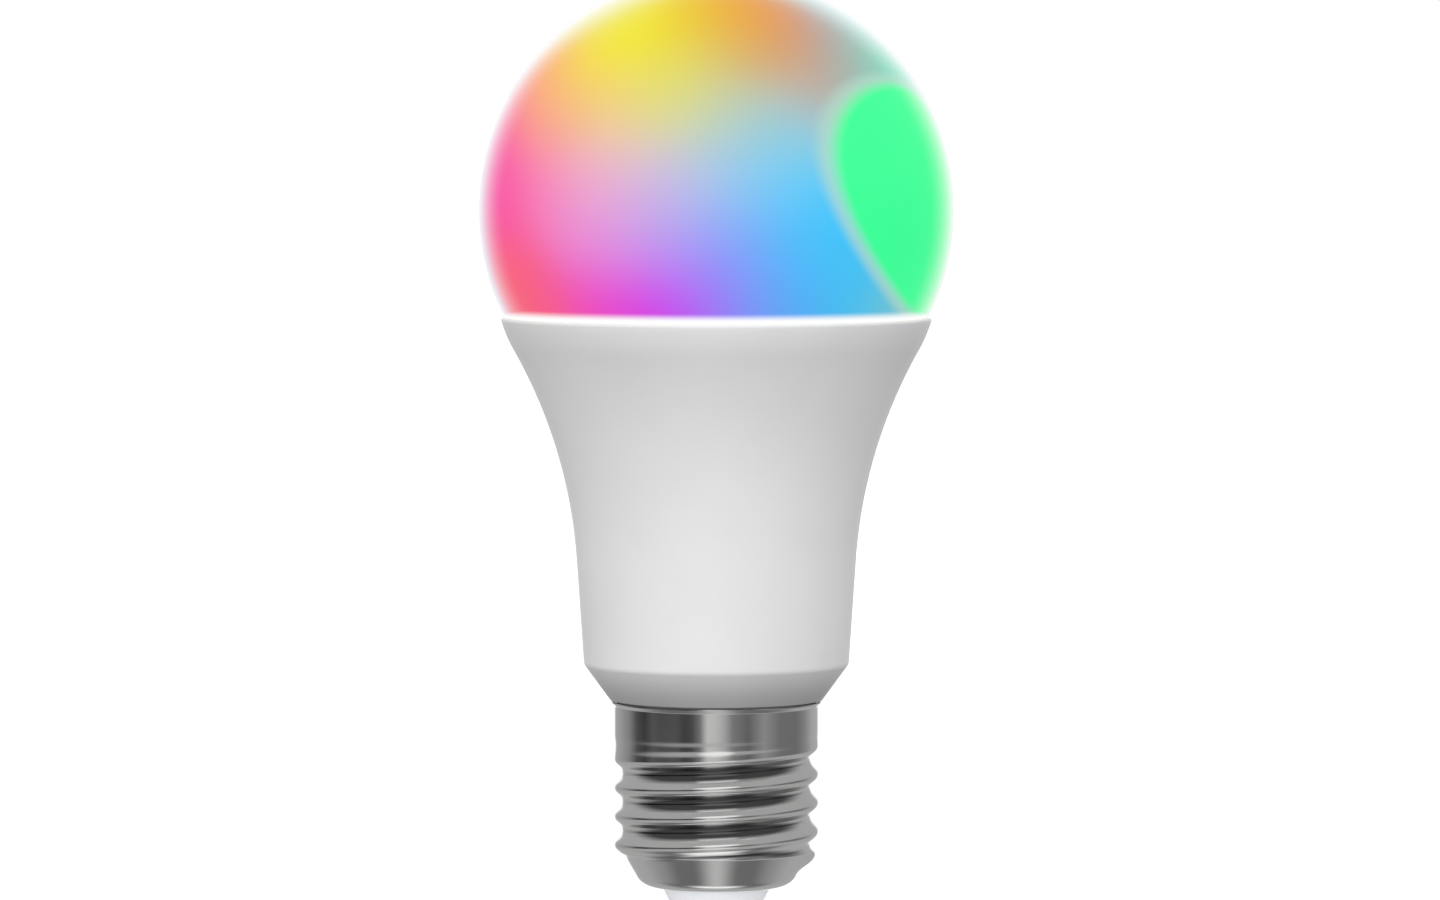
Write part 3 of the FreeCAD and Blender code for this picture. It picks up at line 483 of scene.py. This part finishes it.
# Azimuth is measured from the front towards +X and height from the globe's equator, both in degrees.
GLOWS = {
    "yellow": (-31, 50, (241, 236, 55)),
    "lemon": (-64, 60, (240, 243, 170)),
    "amber": (-6, 54, (237, 192, 52)),
    "orange": (20, 56, (242, 152, 66)),
    "apricot": (-60, 33, (252, 186, 110)),
    "gold": (-38, 36, (243, 233, 40)),
    "straw": (-14, 37, (232, 226, 68)),
    "khaki": (5, 41, (216, 186, 100)),
    "tan": (20, 42, (228, 148, 78)),
    "mauve": (46, 47, (192, 124, 136)),
    "ice": (66, 54, (196, 230, 238)),
    "smoke": (31, 35, (186, 174, 170)),
    "sea": (48, 38, (124, 208, 200)),
    "mint": (66, 38, (110, 238, 186)),
    "rose": (-68, 20, (252, 86, 170)),
    "peach": (-45, 25, (249, 154, 150)),
    "sand": (-28, 25, (238, 208, 140)),
    "reed": (-12, 26, (220, 222, 132)),
    "sage": (3, 25, (184, 208, 186)),
    "haze": (18, 22, (150, 206, 218)),
    "hot_pink": (-62, 2, (254, 88, 168)),
    "pink": (-44, 5, (249, 132, 190)),
    "blush": (-28, 9, (238, 182, 208)),
    "lilac": (-12, 8, (203, 192, 226)),
    "mist": (3, 9, (146, 200, 238)),
    "sky": (17, 8, (86, 206, 255)),
    "azure": (28, -8, (78, 202, 254)),
    "coral": (-60, -17, (255, 108, 120)),
    "orchid": (-30, -4, (234, 146, 224)),
    "rose_red": (-46, -22, (250, 100, 146)),
    "magenta": (-29, -22, (238, 76, 208)),
    "lavender": (-14, -4, (190, 156, 244)),
    "purple": (-12, -21, (210, 62, 242)),
    "periwinkle": (1, -7, (130, 160, 254)),
    "violet": (3, -21, (158, 116, 250)),
    "blue": (16, -13, (84, 188, 252)),
    "cornflower": (18, -25, (98, 168, 246)),
    "cyan": (35, -20, (82, 198, 244)),
    "teal": (54, -23, (120, 200, 214)),
}
# The same for the side away from the front, where the glows lie wider apart.
BACK_GLOWS = {
    "back_blue": (108, 24, (70, 190, 250)),
    "back_violet": (118, -18, (150, 120, 250)),
    "back_magenta": (143, 4, (236, 90, 214)),
    "back_rose": (166, -22, (250, 96, 150)),
    "back_coral": (-162, -8, (252, 120, 120)),
    "back_amber": (-166, 26, (244, 196, 84)),
    "back_yellow": (142, 40, (238, 236, 90)),
    "back_green": (-134, 14, (90, 236, 160)),
    "back_teal": (-138, -20, (110, 214, 206)),
    "back_sky": (-110, -16, (110, 190, 252)),
    "back_lilac": (-104, 20, (206, 160, 236)),
    "back_straw": (-126, 46, (226, 226, 120)),
    "crown": (-120, 74, (246, 224, 120)),
    "far_crown": (96, 62, (180, 222, 214)),
}
GLOW_TIGHTNESS = 38          # how quickly a glow gives way to its neighbours
BACK_TIGHTNESS = 14
ROOM_HAZE = 0.045            # what the room's light adds to every glow by itself
GREEN_PATCH = (69, 2.5)      # azimuth and height of its middle
GREEN_TILT = math.radians(26)
GREEN_HALF = (0.66, 0.46)    # half-length and half-width on a globe of radius 1
GREEN_EDGE = (1.05, 0.92)    # the green fades in between these shares of its half-sizes
GREEN_BORDER = (1.13, 1.02)
GREEN_BORDER_WEIGHT = 0.7
FOOT_BAND = 1.2 * MM         # the glow pales to white over this height above the seam
PAINTED_SHEEN_FROM = (0.55, 1.05)    # and over these glancing shares, a painted sheen like that of frosted plastic
LIT_SHARE = 0.22             # of the glow's colour, for the light that falls on the globe


def towards(azimuth, height):
    """Unit vector from the globe's centre in that direction."""
    azimuth, height = math.radians(azimuth), math.radians(height)
    flat = math.cos(height)
    return Vector((math.sin(azimuth) * flat, -math.cos(azimuth) * flat, math.sin(height)))


def blended_glows(graph, direction):
    """Each glow's own colour near its middle, and smooth blends between neighbours."""
    colour, total = (0, 0, 0), 0.0
    glows = [(*glow, GLOW_TIGHTNESS) for glow in GLOWS.values()]
    glows += [(*glow, BACK_TIGHTNESS) for glow in BACK_GLOWS.values()]
    for azimuth, height, srgb, tightness in glows:
        closeness = graph.measure("DOT_PRODUCT", direction, tuple(towards(azimuth, height)))
        tightened = graph.math("MULTIPLY_ADD", closeness, tightness, -tightness)
        weight = graph.math("EXPONENT", tightened)
        colour = graph.vector("ADD", colour, graph.scaled(linear(srgb)[:3], weight))
        total = graph.math("ADD", total, weight)
    blend = graph.scaled(colour, graph.math("DIVIDE", 1.0, total))
    return graph.vector("MAXIMUM", graph.vector("SUBTRACT", blend, (ROOM_HAZE,) * 3), (0, 0, 0))


def green_patch(graph, direction, colour):
    """Tilted oval of green with a thin pale border."""
    middle = towards(*GREEN_PATCH)
    right = Vector((0, 0, 1)).cross(middle).normalized()
    up = middle.cross(right)
    along = (right * math.cos(GREEN_TILT) - up * math.sin(GREEN_TILT)) / GREEN_HALF[0]
    across = (up * math.cos(GREEN_TILT) + right * math.sin(GREEN_TILT)) / GREEN_HALF[1]
    along_share = graph.measure("DOT_PRODUCT", direction, tuple(along))
    across_share = graph.measure("DOT_PRODUCT", direction, tuple(across))
    squares = graph.math("ADD", graph.math("POWER", across_share, 2.0), graph.math("POWER", along_share, 2.0))
    distance = graph.math("POWER", squares, 0.5)
    same_side = graph.step(graph.measure("DOT_PRODUCT", direction, tuple(middle)), 0.1, 0.3)
    border = graph.product(graph.step(distance, *GREEN_BORDER), same_side, GREEN_BORDER_WEIGHT)
    colour = graph.mix(border, colour, linear((172, 216, 196)))
    inside = graph.product(graph.step(distance, *GREEN_EDGE), same_side)
    return graph.mix(inside, colour, linear((46, 252, 148)))


def opal_diffuser():
    """Frosted globe lit from inside: it glows in many colours and pales to white at its foot, and a painted
    sheen whitens its rim at glancing angles.
    """
    graph, shader = material("opal_diffuser", Roughness=0.5, Coat_Weight=0.25, Coat_Roughness=0.35,
                             Coat_IOR=1.4, Sheen_Weight=1.0, Sheen_Roughness=0.2, Emission_Strength=0.84)
    place = graph.object_place()
    outward = graph.vector("SUBTRACT", place, (0, 0, GLOBE_Z))
    direction = graph.vector("NORMALIZE", outward)
    colour = green_patch(graph, direction, blended_glows(graph, direction))
    foot = graph.step(graph.parts(place)["Z"], SEAM_Z + FOOT_BAND, SEAM_Z)
    # painted sheen: the glow's colour is mixed to white where the globe is seen at a glancing angle
    sheen = graph.step(graph.facing(), *PAINTED_SHEEN_FROM)
    colour = graph.mix(graph.math("MAXIMUM", foot, sheen), colour, WHITE)
    graph.give(shader.inputs["Emission Color"], colour)
    graph.give(shader.inputs["Base Color"], graph.scaled(colour, LIT_SHARE))
    frost = graph.noise(place, 9000, 2.0)
    graph.give(shader.inputs["Normal"], graph.bump(frost, 0.012 * MM, 0.4))


# ---- finishes of the outside ----

PAINTED_SHADE_ABOVE = 0.6 * MM      # painted shade starts to darken the cone this far above its top corner
PAINTED_SHADE_WEIGHT = 0.62         # how dark that painted shade is beside the cap
ROOT_DEPTH = (0.45 * MM, 0.8 * MM)     # below the crests, where painted shade darkens the thread's roots
ROOT_FROM = 0.6 * MM         # height above the taper over which that starts
ROOT_SHADE_WEIGHT = 0.88             # how dark that painted shade is, seen square on
ROOT_SHADE_FADE = (0.55, 0.25)   # glancing shares between which the painted shade fades out


def housing_plastic():
    """Satin white moulding with a fine spark-eroded grain and faint flow mottling, and painted shade that
    darkens its cone towards the cap.
    """
    graph, shader = material("housing_plastic", Specular_IOR_Level=0.45)
    place = graph.object_place()
    mottle = graph.noise(place, 60, 4.0)
    grain = graph.noise(place, 5200, 3.0)
    colour = graph.mix(graph.step(mottle, 0.3, 0.7), (0.82, 0.825, 0.82, 1), (0.85, 0.855, 0.85, 1))
    # painted shade: the cone's colour is mixed to grey towards the cap, where shade falls
    painted_shade = graph.step(graph.parts(place)["Z"], NECK_Z + PAINTED_SHADE_ABOVE, CONE_Z, 0.0, PAINTED_SHADE_WEIGHT)
    graph.give(shader.inputs["Base Color"], graph.mix(painted_shade, colour, grey(0.30)))
    graph.give(shader.inputs["Roughness"], graph.step(mottle, 0.25, 0.75, 0.40, 0.46))
    graph.give(shader.inputs["Normal"], graph.bump(grain, 0.01 * MM, 0.35))


def plated_cap():
    """Bright nickel on rolled sheet: fine marks run round it, patches are cloudy, and painted shade darkens
    the thread's roots except at glancing angles.
    """
    graph, shader = material("plated_cap", Metallic=1.0)
    place = graph.object_place()
    parts = graph.parts(place)
    stretched = graph.joined(graph.product(parts["X"], 0.04), graph.product(parts["Y"], 0.04), parts["Z"])
    lines = graph.noise(stretched, 9000, 4.0, 0.6)
    clouds = graph.noise(place, 160, 4.0)
    roughness = graph.math("MULTIPLY_ADD", lines, 0.05, graph.step(clouds, 0.35, 0.7, 0.05, 0.11))
    sunk = graph.step(graph.from_axis(place), CREST_R - ROOT_DEPTH[0], CREST_R - ROOT_DEPTH[1])
    threaded = graph.step(parts["Z"], TAPER_Z, TAPER_Z + ROOT_FROM)
    # painted shade: the roots' colour is mixed to near-black, fading out at glancing angles
    painted_root_shade = graph.product(sunk, threaded, graph.step(graph.facing(), *ROOT_SHADE_FADE, 0.0, ROOT_SHADE_WEIGHT))
    bright = graph.mix(clouds, (0.68, 0.675, 0.67, 1), (0.75, 0.745, 0.74, 1))
    graph.give(shader.inputs["Base Color"], graph.mix(painted_root_shade, bright, (0.012, 0.012, 0.013, 1)))
    graph.give(shader.inputs["Roughness"], roughness)
    graph.give(shader.inputs["Normal"], graph.bump(lines, 0.002 * MM, 0.5))


def silicone_seal():
    """Satin translucent bead with a soft ripple and a faint painted glow."""
    # painted glow: a faint warm-white emission brightens the bead
    graph, shader = material("silicone_seal", Roughness=0.35, Subsurface_Weight=0.2, Subsurface_Scale=0.0005,
                             Emission_Color=(1, 0.98, 0.94, 1), Emission_Strength=0.25)
    ripple = graph.noise(graph.object_place(), 900, 2.0)
    graph.give(shader.inputs["Base Color"], graph.mix(ripple, (0.88, 0.87, 0.83, 1), (0.93, 0.92, 0.89, 1)))
    graph.give(shader.inputs["Normal"], graph.bump(ripple, 0.03 * MM, 0.5))


def cap_ceramic():
    """Smooth pale insulator with a thin glaze and a faint painted glow."""
    # painted glow: a faint bluish-white emission brightens the insulator
    graph, shader = material("cap_ceramic", Coat_Weight=0.5, Coat_Roughness=0.08,
                             Emission_Color=(0.93, 0.95, 1, 1), Emission_Strength=0.28)
    place = graph.object_place()
    cloud = graph.noise(place, 350, 4.0)
    specks = graph.noise(place, 2600, 2.0)
    graph.give(shader.inputs["Base Color"], graph.mix(cloud, (0.86, 0.88, 0.92, 1), (0.91, 0.92, 0.95, 1)))
    graph.give(shader.inputs["Roughness"], graph.step(specks, 0.3, 0.7, 0.2, 0.32))
    graph.give(shader.inputs["Normal"], graph.bump(specks, 0.01 * MM, 0.3))


def contact_metal():
    """Tinned brass button, rubbed bright in the middle where a lampholder's spring has touched it."""
    graph, shader = material("contact_metal", Metallic=1.0)
    place = graph.object_place()
    scratches = graph.noise(place, 1800, 5.0, 0.65)
    rubbed = graph.step(graph.from_axis(place), 2.4 * MM, 1.0 * MM)
    colour = graph.mix(scratches, (0.60, 0.56, 0.48, 1), (0.74, 0.71, 0.64, 1))
    graph.give(shader.inputs["Base Color"], graph.mix(rubbed, colour, (0.78, 0.66, 0.42, 1)))
    graph.give(shader.inputs["Roughness"], graph.step(scratches, 0.3, 0.7, 0.18, 0.36))
    graph.give(shader.inputs["Normal"], graph.bump(scratches, 0.008 * MM, 0.5))


# ---- finishes of what is inside ----

PHOSPHOR_NODES = {"warm_phosphor": "warm_white_leds", "cool_phosphor": "cool_white_leds",
                  "rgb_package": "rgb_leds"}
GEL_DEPTH = (0.12 * MM, 0.04 * MM)     # the gel's colour comes in between these depths below the top


def speckled(slot, dark, light, roughness, scale=1500, depth=0.01, **constants):
    """Surface mottled between two colours with a fine bump of its own: mouldings, films, paste and metals."""
    graph, shader = material(slot, **constants)
    place = graph.object_place()
    mottle = graph.noise(place, scale, 4.0, 0.6)
    graph.give(shader.inputs["Base Color"], graph.mix(mottle, (*dark, 1), (*light, 1)))
    graph.give(shader.inputs["Roughness"], graph.step(mottle, 0.3, 0.7, roughness[0], roughness[1]))
    graph.give(shader.inputs["Normal"], graph.bump(mottle, depth * MM, 0.5))


def solder_mask(slot, mask, traced, scale=900):
    """Lacquered board: straight runs of covered copper show through in a lighter tone."""
    graph, shader = material(slot, Roughness=0.28, Coat_Weight=0.4, Coat_Roughness=0.1)
    place = graph.object_place()
    cells = graph.node("ShaderNodeTexVoronoi", {"Vector": place, "Scale": scale}, distance="MANHATTAN",
                       feature="F1")
    runs = graph.step(cells.outputs["Distance"], 0.42, 0.36)
    weave = graph.noise(place, 6000, 2.0)
    colour = graph.mix(runs, (*mask, 1), (*traced, 1))
    graph.give(shader.inputs["Base Color"], colour)
    height = graph.math("MULTIPLY_ADD", runs, 0.8, graph.math("MULTIPLY", weave, 0.2))
    graph.give(shader.inputs["Normal"], graph.bump(height, 0.03 * MM, 0.6))


def wound(slot, dark, light, wires_per_metre, **constants):
    """Wire or tape wound in close turns: a fine ridge for every turn."""
    graph, shader = material(slot, Roughness=0.3, Coat_Weight=0.6, Coat_Roughness=0.12, **constants)
    place = graph.object_place()
    wander = graph.noise(place, 500, 3.0)
    phase = graph.math("MULTIPLY_ADD", graph.parts(place)["Z"], wires_per_metre * 2 * math.pi, wander)
    ridge = graph.math("MULTIPLY_ADD", graph.math("SINE", phase), 0.5, 0.5)
    graph.give(shader.inputs["Base Color"], graph.mix(ridge, (*dark, 1), (*light, 1)))
    graph.give(shader.inputs["Normal"], graph.bump(ridge, 0.08 * MM, 0.8))


def phosphor(slot, body, gel):
    """White package with a domed window of phosphor gel over its middle."""
    graph, shader = material(slot, Roughness=0.45)
    place = graph.object_place()
    grain = graph.noise(place, 7000, 3.0)
    top_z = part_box(PHOSPHOR_NODES[slot])[1].z
    on_top = graph.step(graph.parts(place)["Z"], top_z - GEL_DEPTH[0], top_z - GEL_DEPTH[1])
    gel_share = graph.product(on_top, graph.step(grain, 0.2, 0.5, 0.8, 1.0))
    graph.give(shader.inputs["Base Color"], graph.mix(gel_share, (*body, 1), (*gel, 1)))
    graph.give(shader.inputs["Normal"], graph.bump(grain, 0.006 * MM, 0.5))


def inside_finishes():
    """One material for each slot that only inner pieces use."""
    speckled("cup_aluminium", (0.66, 0.67, 0.68), (0.76, 0.77, 0.78), (0.28, 0.42), 700, Metallic=1.0)
    speckled("thermal_compound", (0.78, 0.79, 0.80), (0.88, 0.89, 0.90), (0.55, 0.75), 900, 0.05)
    solder_mask("led_board_mask", (0.88, 0.88, 0.86), (0.95, 0.95, 0.94), 350)
    speckled("screw_steel", (0.50, 0.50, 0.50), (0.68, 0.68, 0.67), (0.25, 0.4), 2500, Metallic=1.0)
    phosphor("warm_phosphor", (0.90, 0.90, 0.88), (0.95, 0.66, 0.20))
    phosphor("cool_phosphor", (0.90, 0.90, 0.88), (0.95, 0.88, 0.38))
    phosphor("rgb_package", (0.90, 0.90, 0.92), (0.70, 0.74, 0.78))
    speckled("chip_black", (0.015, 0.015, 0.016), (0.045, 0.045, 0.047), (0.5, 0.65), 5000, 0.008)
    speckled("chip_resistor", (0.012, 0.012, 0.014), (0.06, 0.06, 0.07), (0.25, 0.4), 3000)
    speckled("connector_white", (0.80, 0.79, 0.72), (0.90, 0.89, 0.84), (0.4, 0.5), 1800)
    speckled("connector_black", (0.018, 0.018, 0.02), (0.04, 0.04, 0.045), (0.35, 0.5), 2500)
    speckled("tinned_metal", (0.66, 0.66, 0.64), (0.80, 0.80, 0.78), (0.16, 0.3), 3500, Metallic=1.0)
    solder_mask("wireless_mask", (0.010, 0.040, 0.13), (0.020, 0.075, 0.22), 1400)
    speckled("crystal_can", (0.62, 0.62, 0.60), (0.76, 0.76, 0.74), (0.15, 0.28), 2200, Metallic=1.0)
    speckled("shield_can", (0.60, 0.60, 0.58), (0.74, 0.74, 0.72), (0.22, 0.36), 1500, Metallic=1.0)
    speckled("antenna_copper", (0.70, 0.50, 0.20), (0.86, 0.68, 0.32), (0.2, 0.32), 2500, Metallic=1.0)
    solder_mask("driver_mask", (0.020, 0.17, 0.06), (0.045, 0.30, 0.11), 600)
    speckled("insulating_film", (0.82, 0.82, 0.78), (0.92, 0.92, 0.89), (0.2, 0.35), 250, 0.05)
    speckled("capacitor_sleeve", (0.02, 0.028, 0.06), (0.05, 0.062, 0.11), (0.2, 0.32), 900)
    speckled("ferrite", (0.05, 0.05, 0.055), (0.14, 0.14, 0.15), (0.5, 0.7), 4200, 0.02)
    wound("winding_tape", (0.70, 0.50, 0.06), (0.90, 0.70, 0.14), 420)
    wound("enamelled_copper", (0.38, 0.14, 0.05), (0.74, 0.34, 0.14), 2600, Metallic=0.7)
    speckled("resistor_enamel", (0.14, 0.34, 0.22), (0.26, 0.48, 0.35), (0.3, 0.42), 1600, 0.03)
    speckled("varistor_epoxy", (0.07, 0.20, 0.52), (0.14, 0.31, 0.66), (0.18, 0.3), 700, 0.04)
    speckled("film_box", (0.78, 0.62, 0.10), (0.90, 0.76, 0.20), (0.3, 0.42), 1800)
    speckled("solder", (0.62, 0.62, 0.62), (0.80, 0.80, 0.80), (0.12, 0.3), 2600, 0.02, Metallic=1.0)
    speckled("live_wire", (0.50, 0.03, 0.025), (0.68, 0.07, 0.05), (0.4, 0.5), 1500)
    speckled("neutral_wire", (0.78, 0.78, 0.75), (0.90, 0.90, 0.87), (0.4, 0.5), 1500)


# ---- floor, light and camera ----

# What the polished cap reflects near the horizon: azimuth from the front towards +X, and a grey.
ROOM = [(-180, 0.50), (-136, 0.41), (-116, 0.29), (-101, 0.09), (-88, 0.05), (-76, 0.11), (-66, 0.09),
        (-45, 0.10), (-36, 0.06), (-27, 0.08), (-18, 0.21), (-10, 0.68), (0, 0.63), (9, 0.48), (18, 0.24),
        (36, 0.15), (55, 0.33), (76, 0.20), (101, 0.19), (116, 0.28), (136, 0.47), (180, 0.50)]
ROOM_BAND = ((-18, -13), (6, 1))       # elevations over which that band comes in and goes out
ROOM_GREY = 0.47             # above and below it
# Two soft boxes in front: height and half-height in degrees, and a grey.
SOFT_BOXES = [(17, 16, 1.1), (-30, 14, 0.9)]
SOFT_BOX_HALF_WIDTH = 30.0
SOFT_BOX_EDGE = (1.05, 0.5)

# The rest of the studio is laid out in the parts of a unit vector: X to the right, -Y to the front, Z up.
# A dark patch in front and below, with a paler spot in its middle.
UNDER_Z = (-0.45, -0.58)
UNDER_ASIDE = (0.8, 0.52)
UNDER_NEAR = (-0.6, -0.5)
UNDER_SLANT = -0.5           # its near edge leans back to both sides
UNDER_FAR = (0.55, 0.15)
UNDER_SPOT_ASIDE = (0.36, 0.0)
UNDER_GREYS = (0.18, 0.60)
# A bright strip straight above and below.
OVERHEAD_Z = (0.84, 0.92)
OVERHEAD_ASIDE = (0.45, 0.1)
OVERHEAD_NEAR = (-0.18, -0.05)
OVERHEAD_FAR = (0.2, 0.08)
OVERHEAD_GREY = 1.2
BACKDROP_Y = (0.90, 0.95)
BACKDROP_GREY = 1.2

LIGHT_FROM = (-8, 12)        # azimuth and elevation of the strongest soft light
LIGHT_FRONT = (-0.1, 1.0, 0.0, 0.84)   # each gives a span, and the light at its two ends
LIGHT_HEIGHT = (-0.75, 0.45, 0.0, 0.68)
LIGHT_BACK = (-0.3, -1.0, 0.0, 0.55)

FLOOR_HALF = 30
CAMERA_DISTANCE = 0.93
EYE_Z = 106.7 * MM
AIM_Z = 58.9 * MM
SIDE_STEP = 0.46 * MM        # the camera stands this far to the right of the bulb's axis
LENS = 184
SENSOR_WIDTH = 36
CLIP = (0.01, 100)


def floor():
    """Wide sheet of white paper that the bulb stands on."""
    mesh = bmesh.new()
    bmesh.ops.create_grid(mesh, x_segments=4, y_segments=4, size=FLOOR_HALF)
    piece = finished_piece("studio_floor", mesh)
    graph, shader = material("floor_paper", Roughness=0.9, Emission_Color=WHITE, Emission_Strength=0.45)
    mottle = graph.noise(graph.object_place(), 30, 3.0)
    graph.give(shader.inputs["Base Color"], graph.mix(mottle, grey(0.90), grey(0.92)))
    piece.data.materials.append(FINISHES["floor_paper"])
    piece.visible_glossy = False
    piece.visible_diffuse = False


def horizon(graph, azimuth):
    """Grey of the narrow band near the horizon at an azimuth in degrees."""
    ramp = graph.node("ShaderNodeValToRGB", {"Fac": graph.math("MULTIPLY_ADD", azimuth, 1 / 360, 0.5)})
    stops = ramp.color_ramp.elements
    while len(stops) < len(ROOM):
        stops.new(0.5)
    for stop, (angle, level) in zip(stops, ROOM):
        stop.position = angle / 360 + 0.5
        stop.color = grey(level)
    return ramp.outputs["Color"]


def soft_box(graph, azimuth, elevation, height, half):
    """Share of an oval soft box in a direction."""
    across = graph.math("POWER", graph.math("DIVIDE", azimuth, SOFT_BOX_HALF_WIDTH), 2.0)
    lifted = graph.math("DIVIDE", graph.math("SUBTRACT", elevation, height), half)
    return graph.step(graph.math("ADD", across, graph.math("POWER", lifted, 2.0)), *SOFT_BOX_EDGE)


def room_reflection(graph, direction, azimuth, elevation):
    """Grey that a polished surface sees in a direction, both angles in degrees."""
    rise, fall = ROOM_BAND
    band = graph.product(graph.step(elevation, *rise), graph.step(elevation, *fall))
    view = graph.mix(band, grey(ROOM_GREY), horizon(graph, azimuth))
    for height, half, level in SOFT_BOXES:
        view = graph.mix(soft_box(graph, azimuth, elevation, height, half), view, grey(level))
    parts = graph.parts(direction)
    aside = graph.math("ABSOLUTE", parts["X"])
    slanted = graph.math("MULTIPLY_ADD", aside, UNDER_SLANT, parts["Y"])
    under = graph.product(graph.step(parts["Z"], *UNDER_Z), graph.step(aside, *UNDER_ASIDE),
                          graph.step(slanted, *UNDER_NEAR), graph.step(parts["Y"], *UNDER_FAR))
    dark, pale = UNDER_GREYS
    spot = graph.mix(graph.step(aside, *UNDER_SPOT_ASIDE), grey(dark), grey(pale))
    view = graph.mix(under, view, spot)
    overhead = graph.product(graph.step(graph.math("ABSOLUTE", parts["Z"]), *OVERHEAD_Z),
                             graph.step(aside, *OVERHEAD_ASIDE), graph.step(parts["Y"], *OVERHEAD_NEAR),
                             graph.step(parts["Y"], *OVERHEAD_FAR))
    view = graph.mix(overhead, view, grey(OVERHEAD_GREY))
    return graph.mix(graph.step(parts["Y"], *BACKDROP_Y), view, grey(BACKDROP_GREY))


def soft_light(graph, direction):
    """Light on matt surfaces: strongest from the front and a little above, weakest from below."""
    front = graph.measure("DOT_PRODUCT", direction, tuple(towards(*LIGHT_FROM)))
    light = graph.math("ADD", graph.step(front, *LIGHT_FRONT),
                       graph.step(graph.parts(direction)["Z"], *LIGHT_HEIGHT))
    light = graph.math("ADD", light, graph.step(front, *LIGHT_BACK))
    channels = {"Red": light, "Green": light, "Blue": light}
    return graph.node("ShaderNodeCombineColor", channels).outputs["Color"]


def world():
    """Plain white to the camera, a soft gradient for matt surfaces and a studio for polished ones."""
    made = bpy.data.worlds.new("studio")
    bpy.context.scene.world = made
    made.use_nodes = True
    graph = Graph(made.node_tree)
    direction = graph.node("ShaderNodeTexCoord").outputs["Generated"]
    parts = graph.parts(direction)
    azimuth = graph.math("DEGREES", graph.math("ARCTAN2", parts["X"], graph.product(parts["Y"], -1.0)))
    elevation = graph.math("DEGREES", graph.math("ARCSINE", parts["Z"]))
    rays = graph.node("ShaderNodeLightPath").outputs
    seen = graph.mix(rays["Is Glossy Ray"], soft_light(graph, direction),
                     room_reflection(graph, direction, azimuth, elevation))
    seen = graph.mix(rays["Is Camera Ray"], seen, WHITE)
    graph.give(made.node_tree.nodes["Background"].inputs["Color"], seen)


def camera():
    """Long lens a little above the bulb's middle, looking slightly down at its front."""
    data = bpy.data.cameras.new("camera")
    data.lens = LENS
    data.sensor_width = SENSOR_WIDTH
    data.clip_start, data.clip_end = CLIP
    placed = bpy.data.objects.new("camera", data)
    placed.location = (SIDE_STEP, -CAMERA_DISTANCE, EYE_Z)
    line_of_sight = Vector((0, CAMERA_DISTANCE, AIM_Z - EYE_Z))
    placed.rotation_mode = "QUATERNION"
    placed.rotation_quaternion = line_of_sight.to_track_quat("-Z", "Y")
    bpy.context.scene.collection.objects.link(placed)
    bpy.context.scene.camera = placed


def dress():
    """Gives every carried-over CAD node the material of its slot."""
    for part in frame["record"]["subparts"]:
        for slot in frame["nodes"][part["node"]].material_slots:
            slot.material = FINISHES[part["material_slot"]]


def place_skins():
    """The smooth skins, each in place of its CAD node."""
    skins = [(globe(), "diffuser_globe", "opal_diffuser"), (sealant(), "diffuser_sealant", "silicone_seal"),
             (housing(), "outer_housing", "housing_plastic"), (screw_shell(), "screw_shell", "plated_cap"),
             (insulator(), "cap_insulator", "cap_ceramic"), (contact(), "centre_contact", "contact_metal")]
    for piece, node, slot in skins:
        piece.data.materials.append(FINISHES[slot])
        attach(piece, "root")
        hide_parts(node)


bpy.context.scene.view_settings.view_transform = "Standard"
camera()
world()
floor()
for finish in (opal_diffuser, silicone_seal, housing_plastic, plated_cap, cap_ceramic, contact_metal,
               inside_finishes):
    finish()
dress()
place_skins()
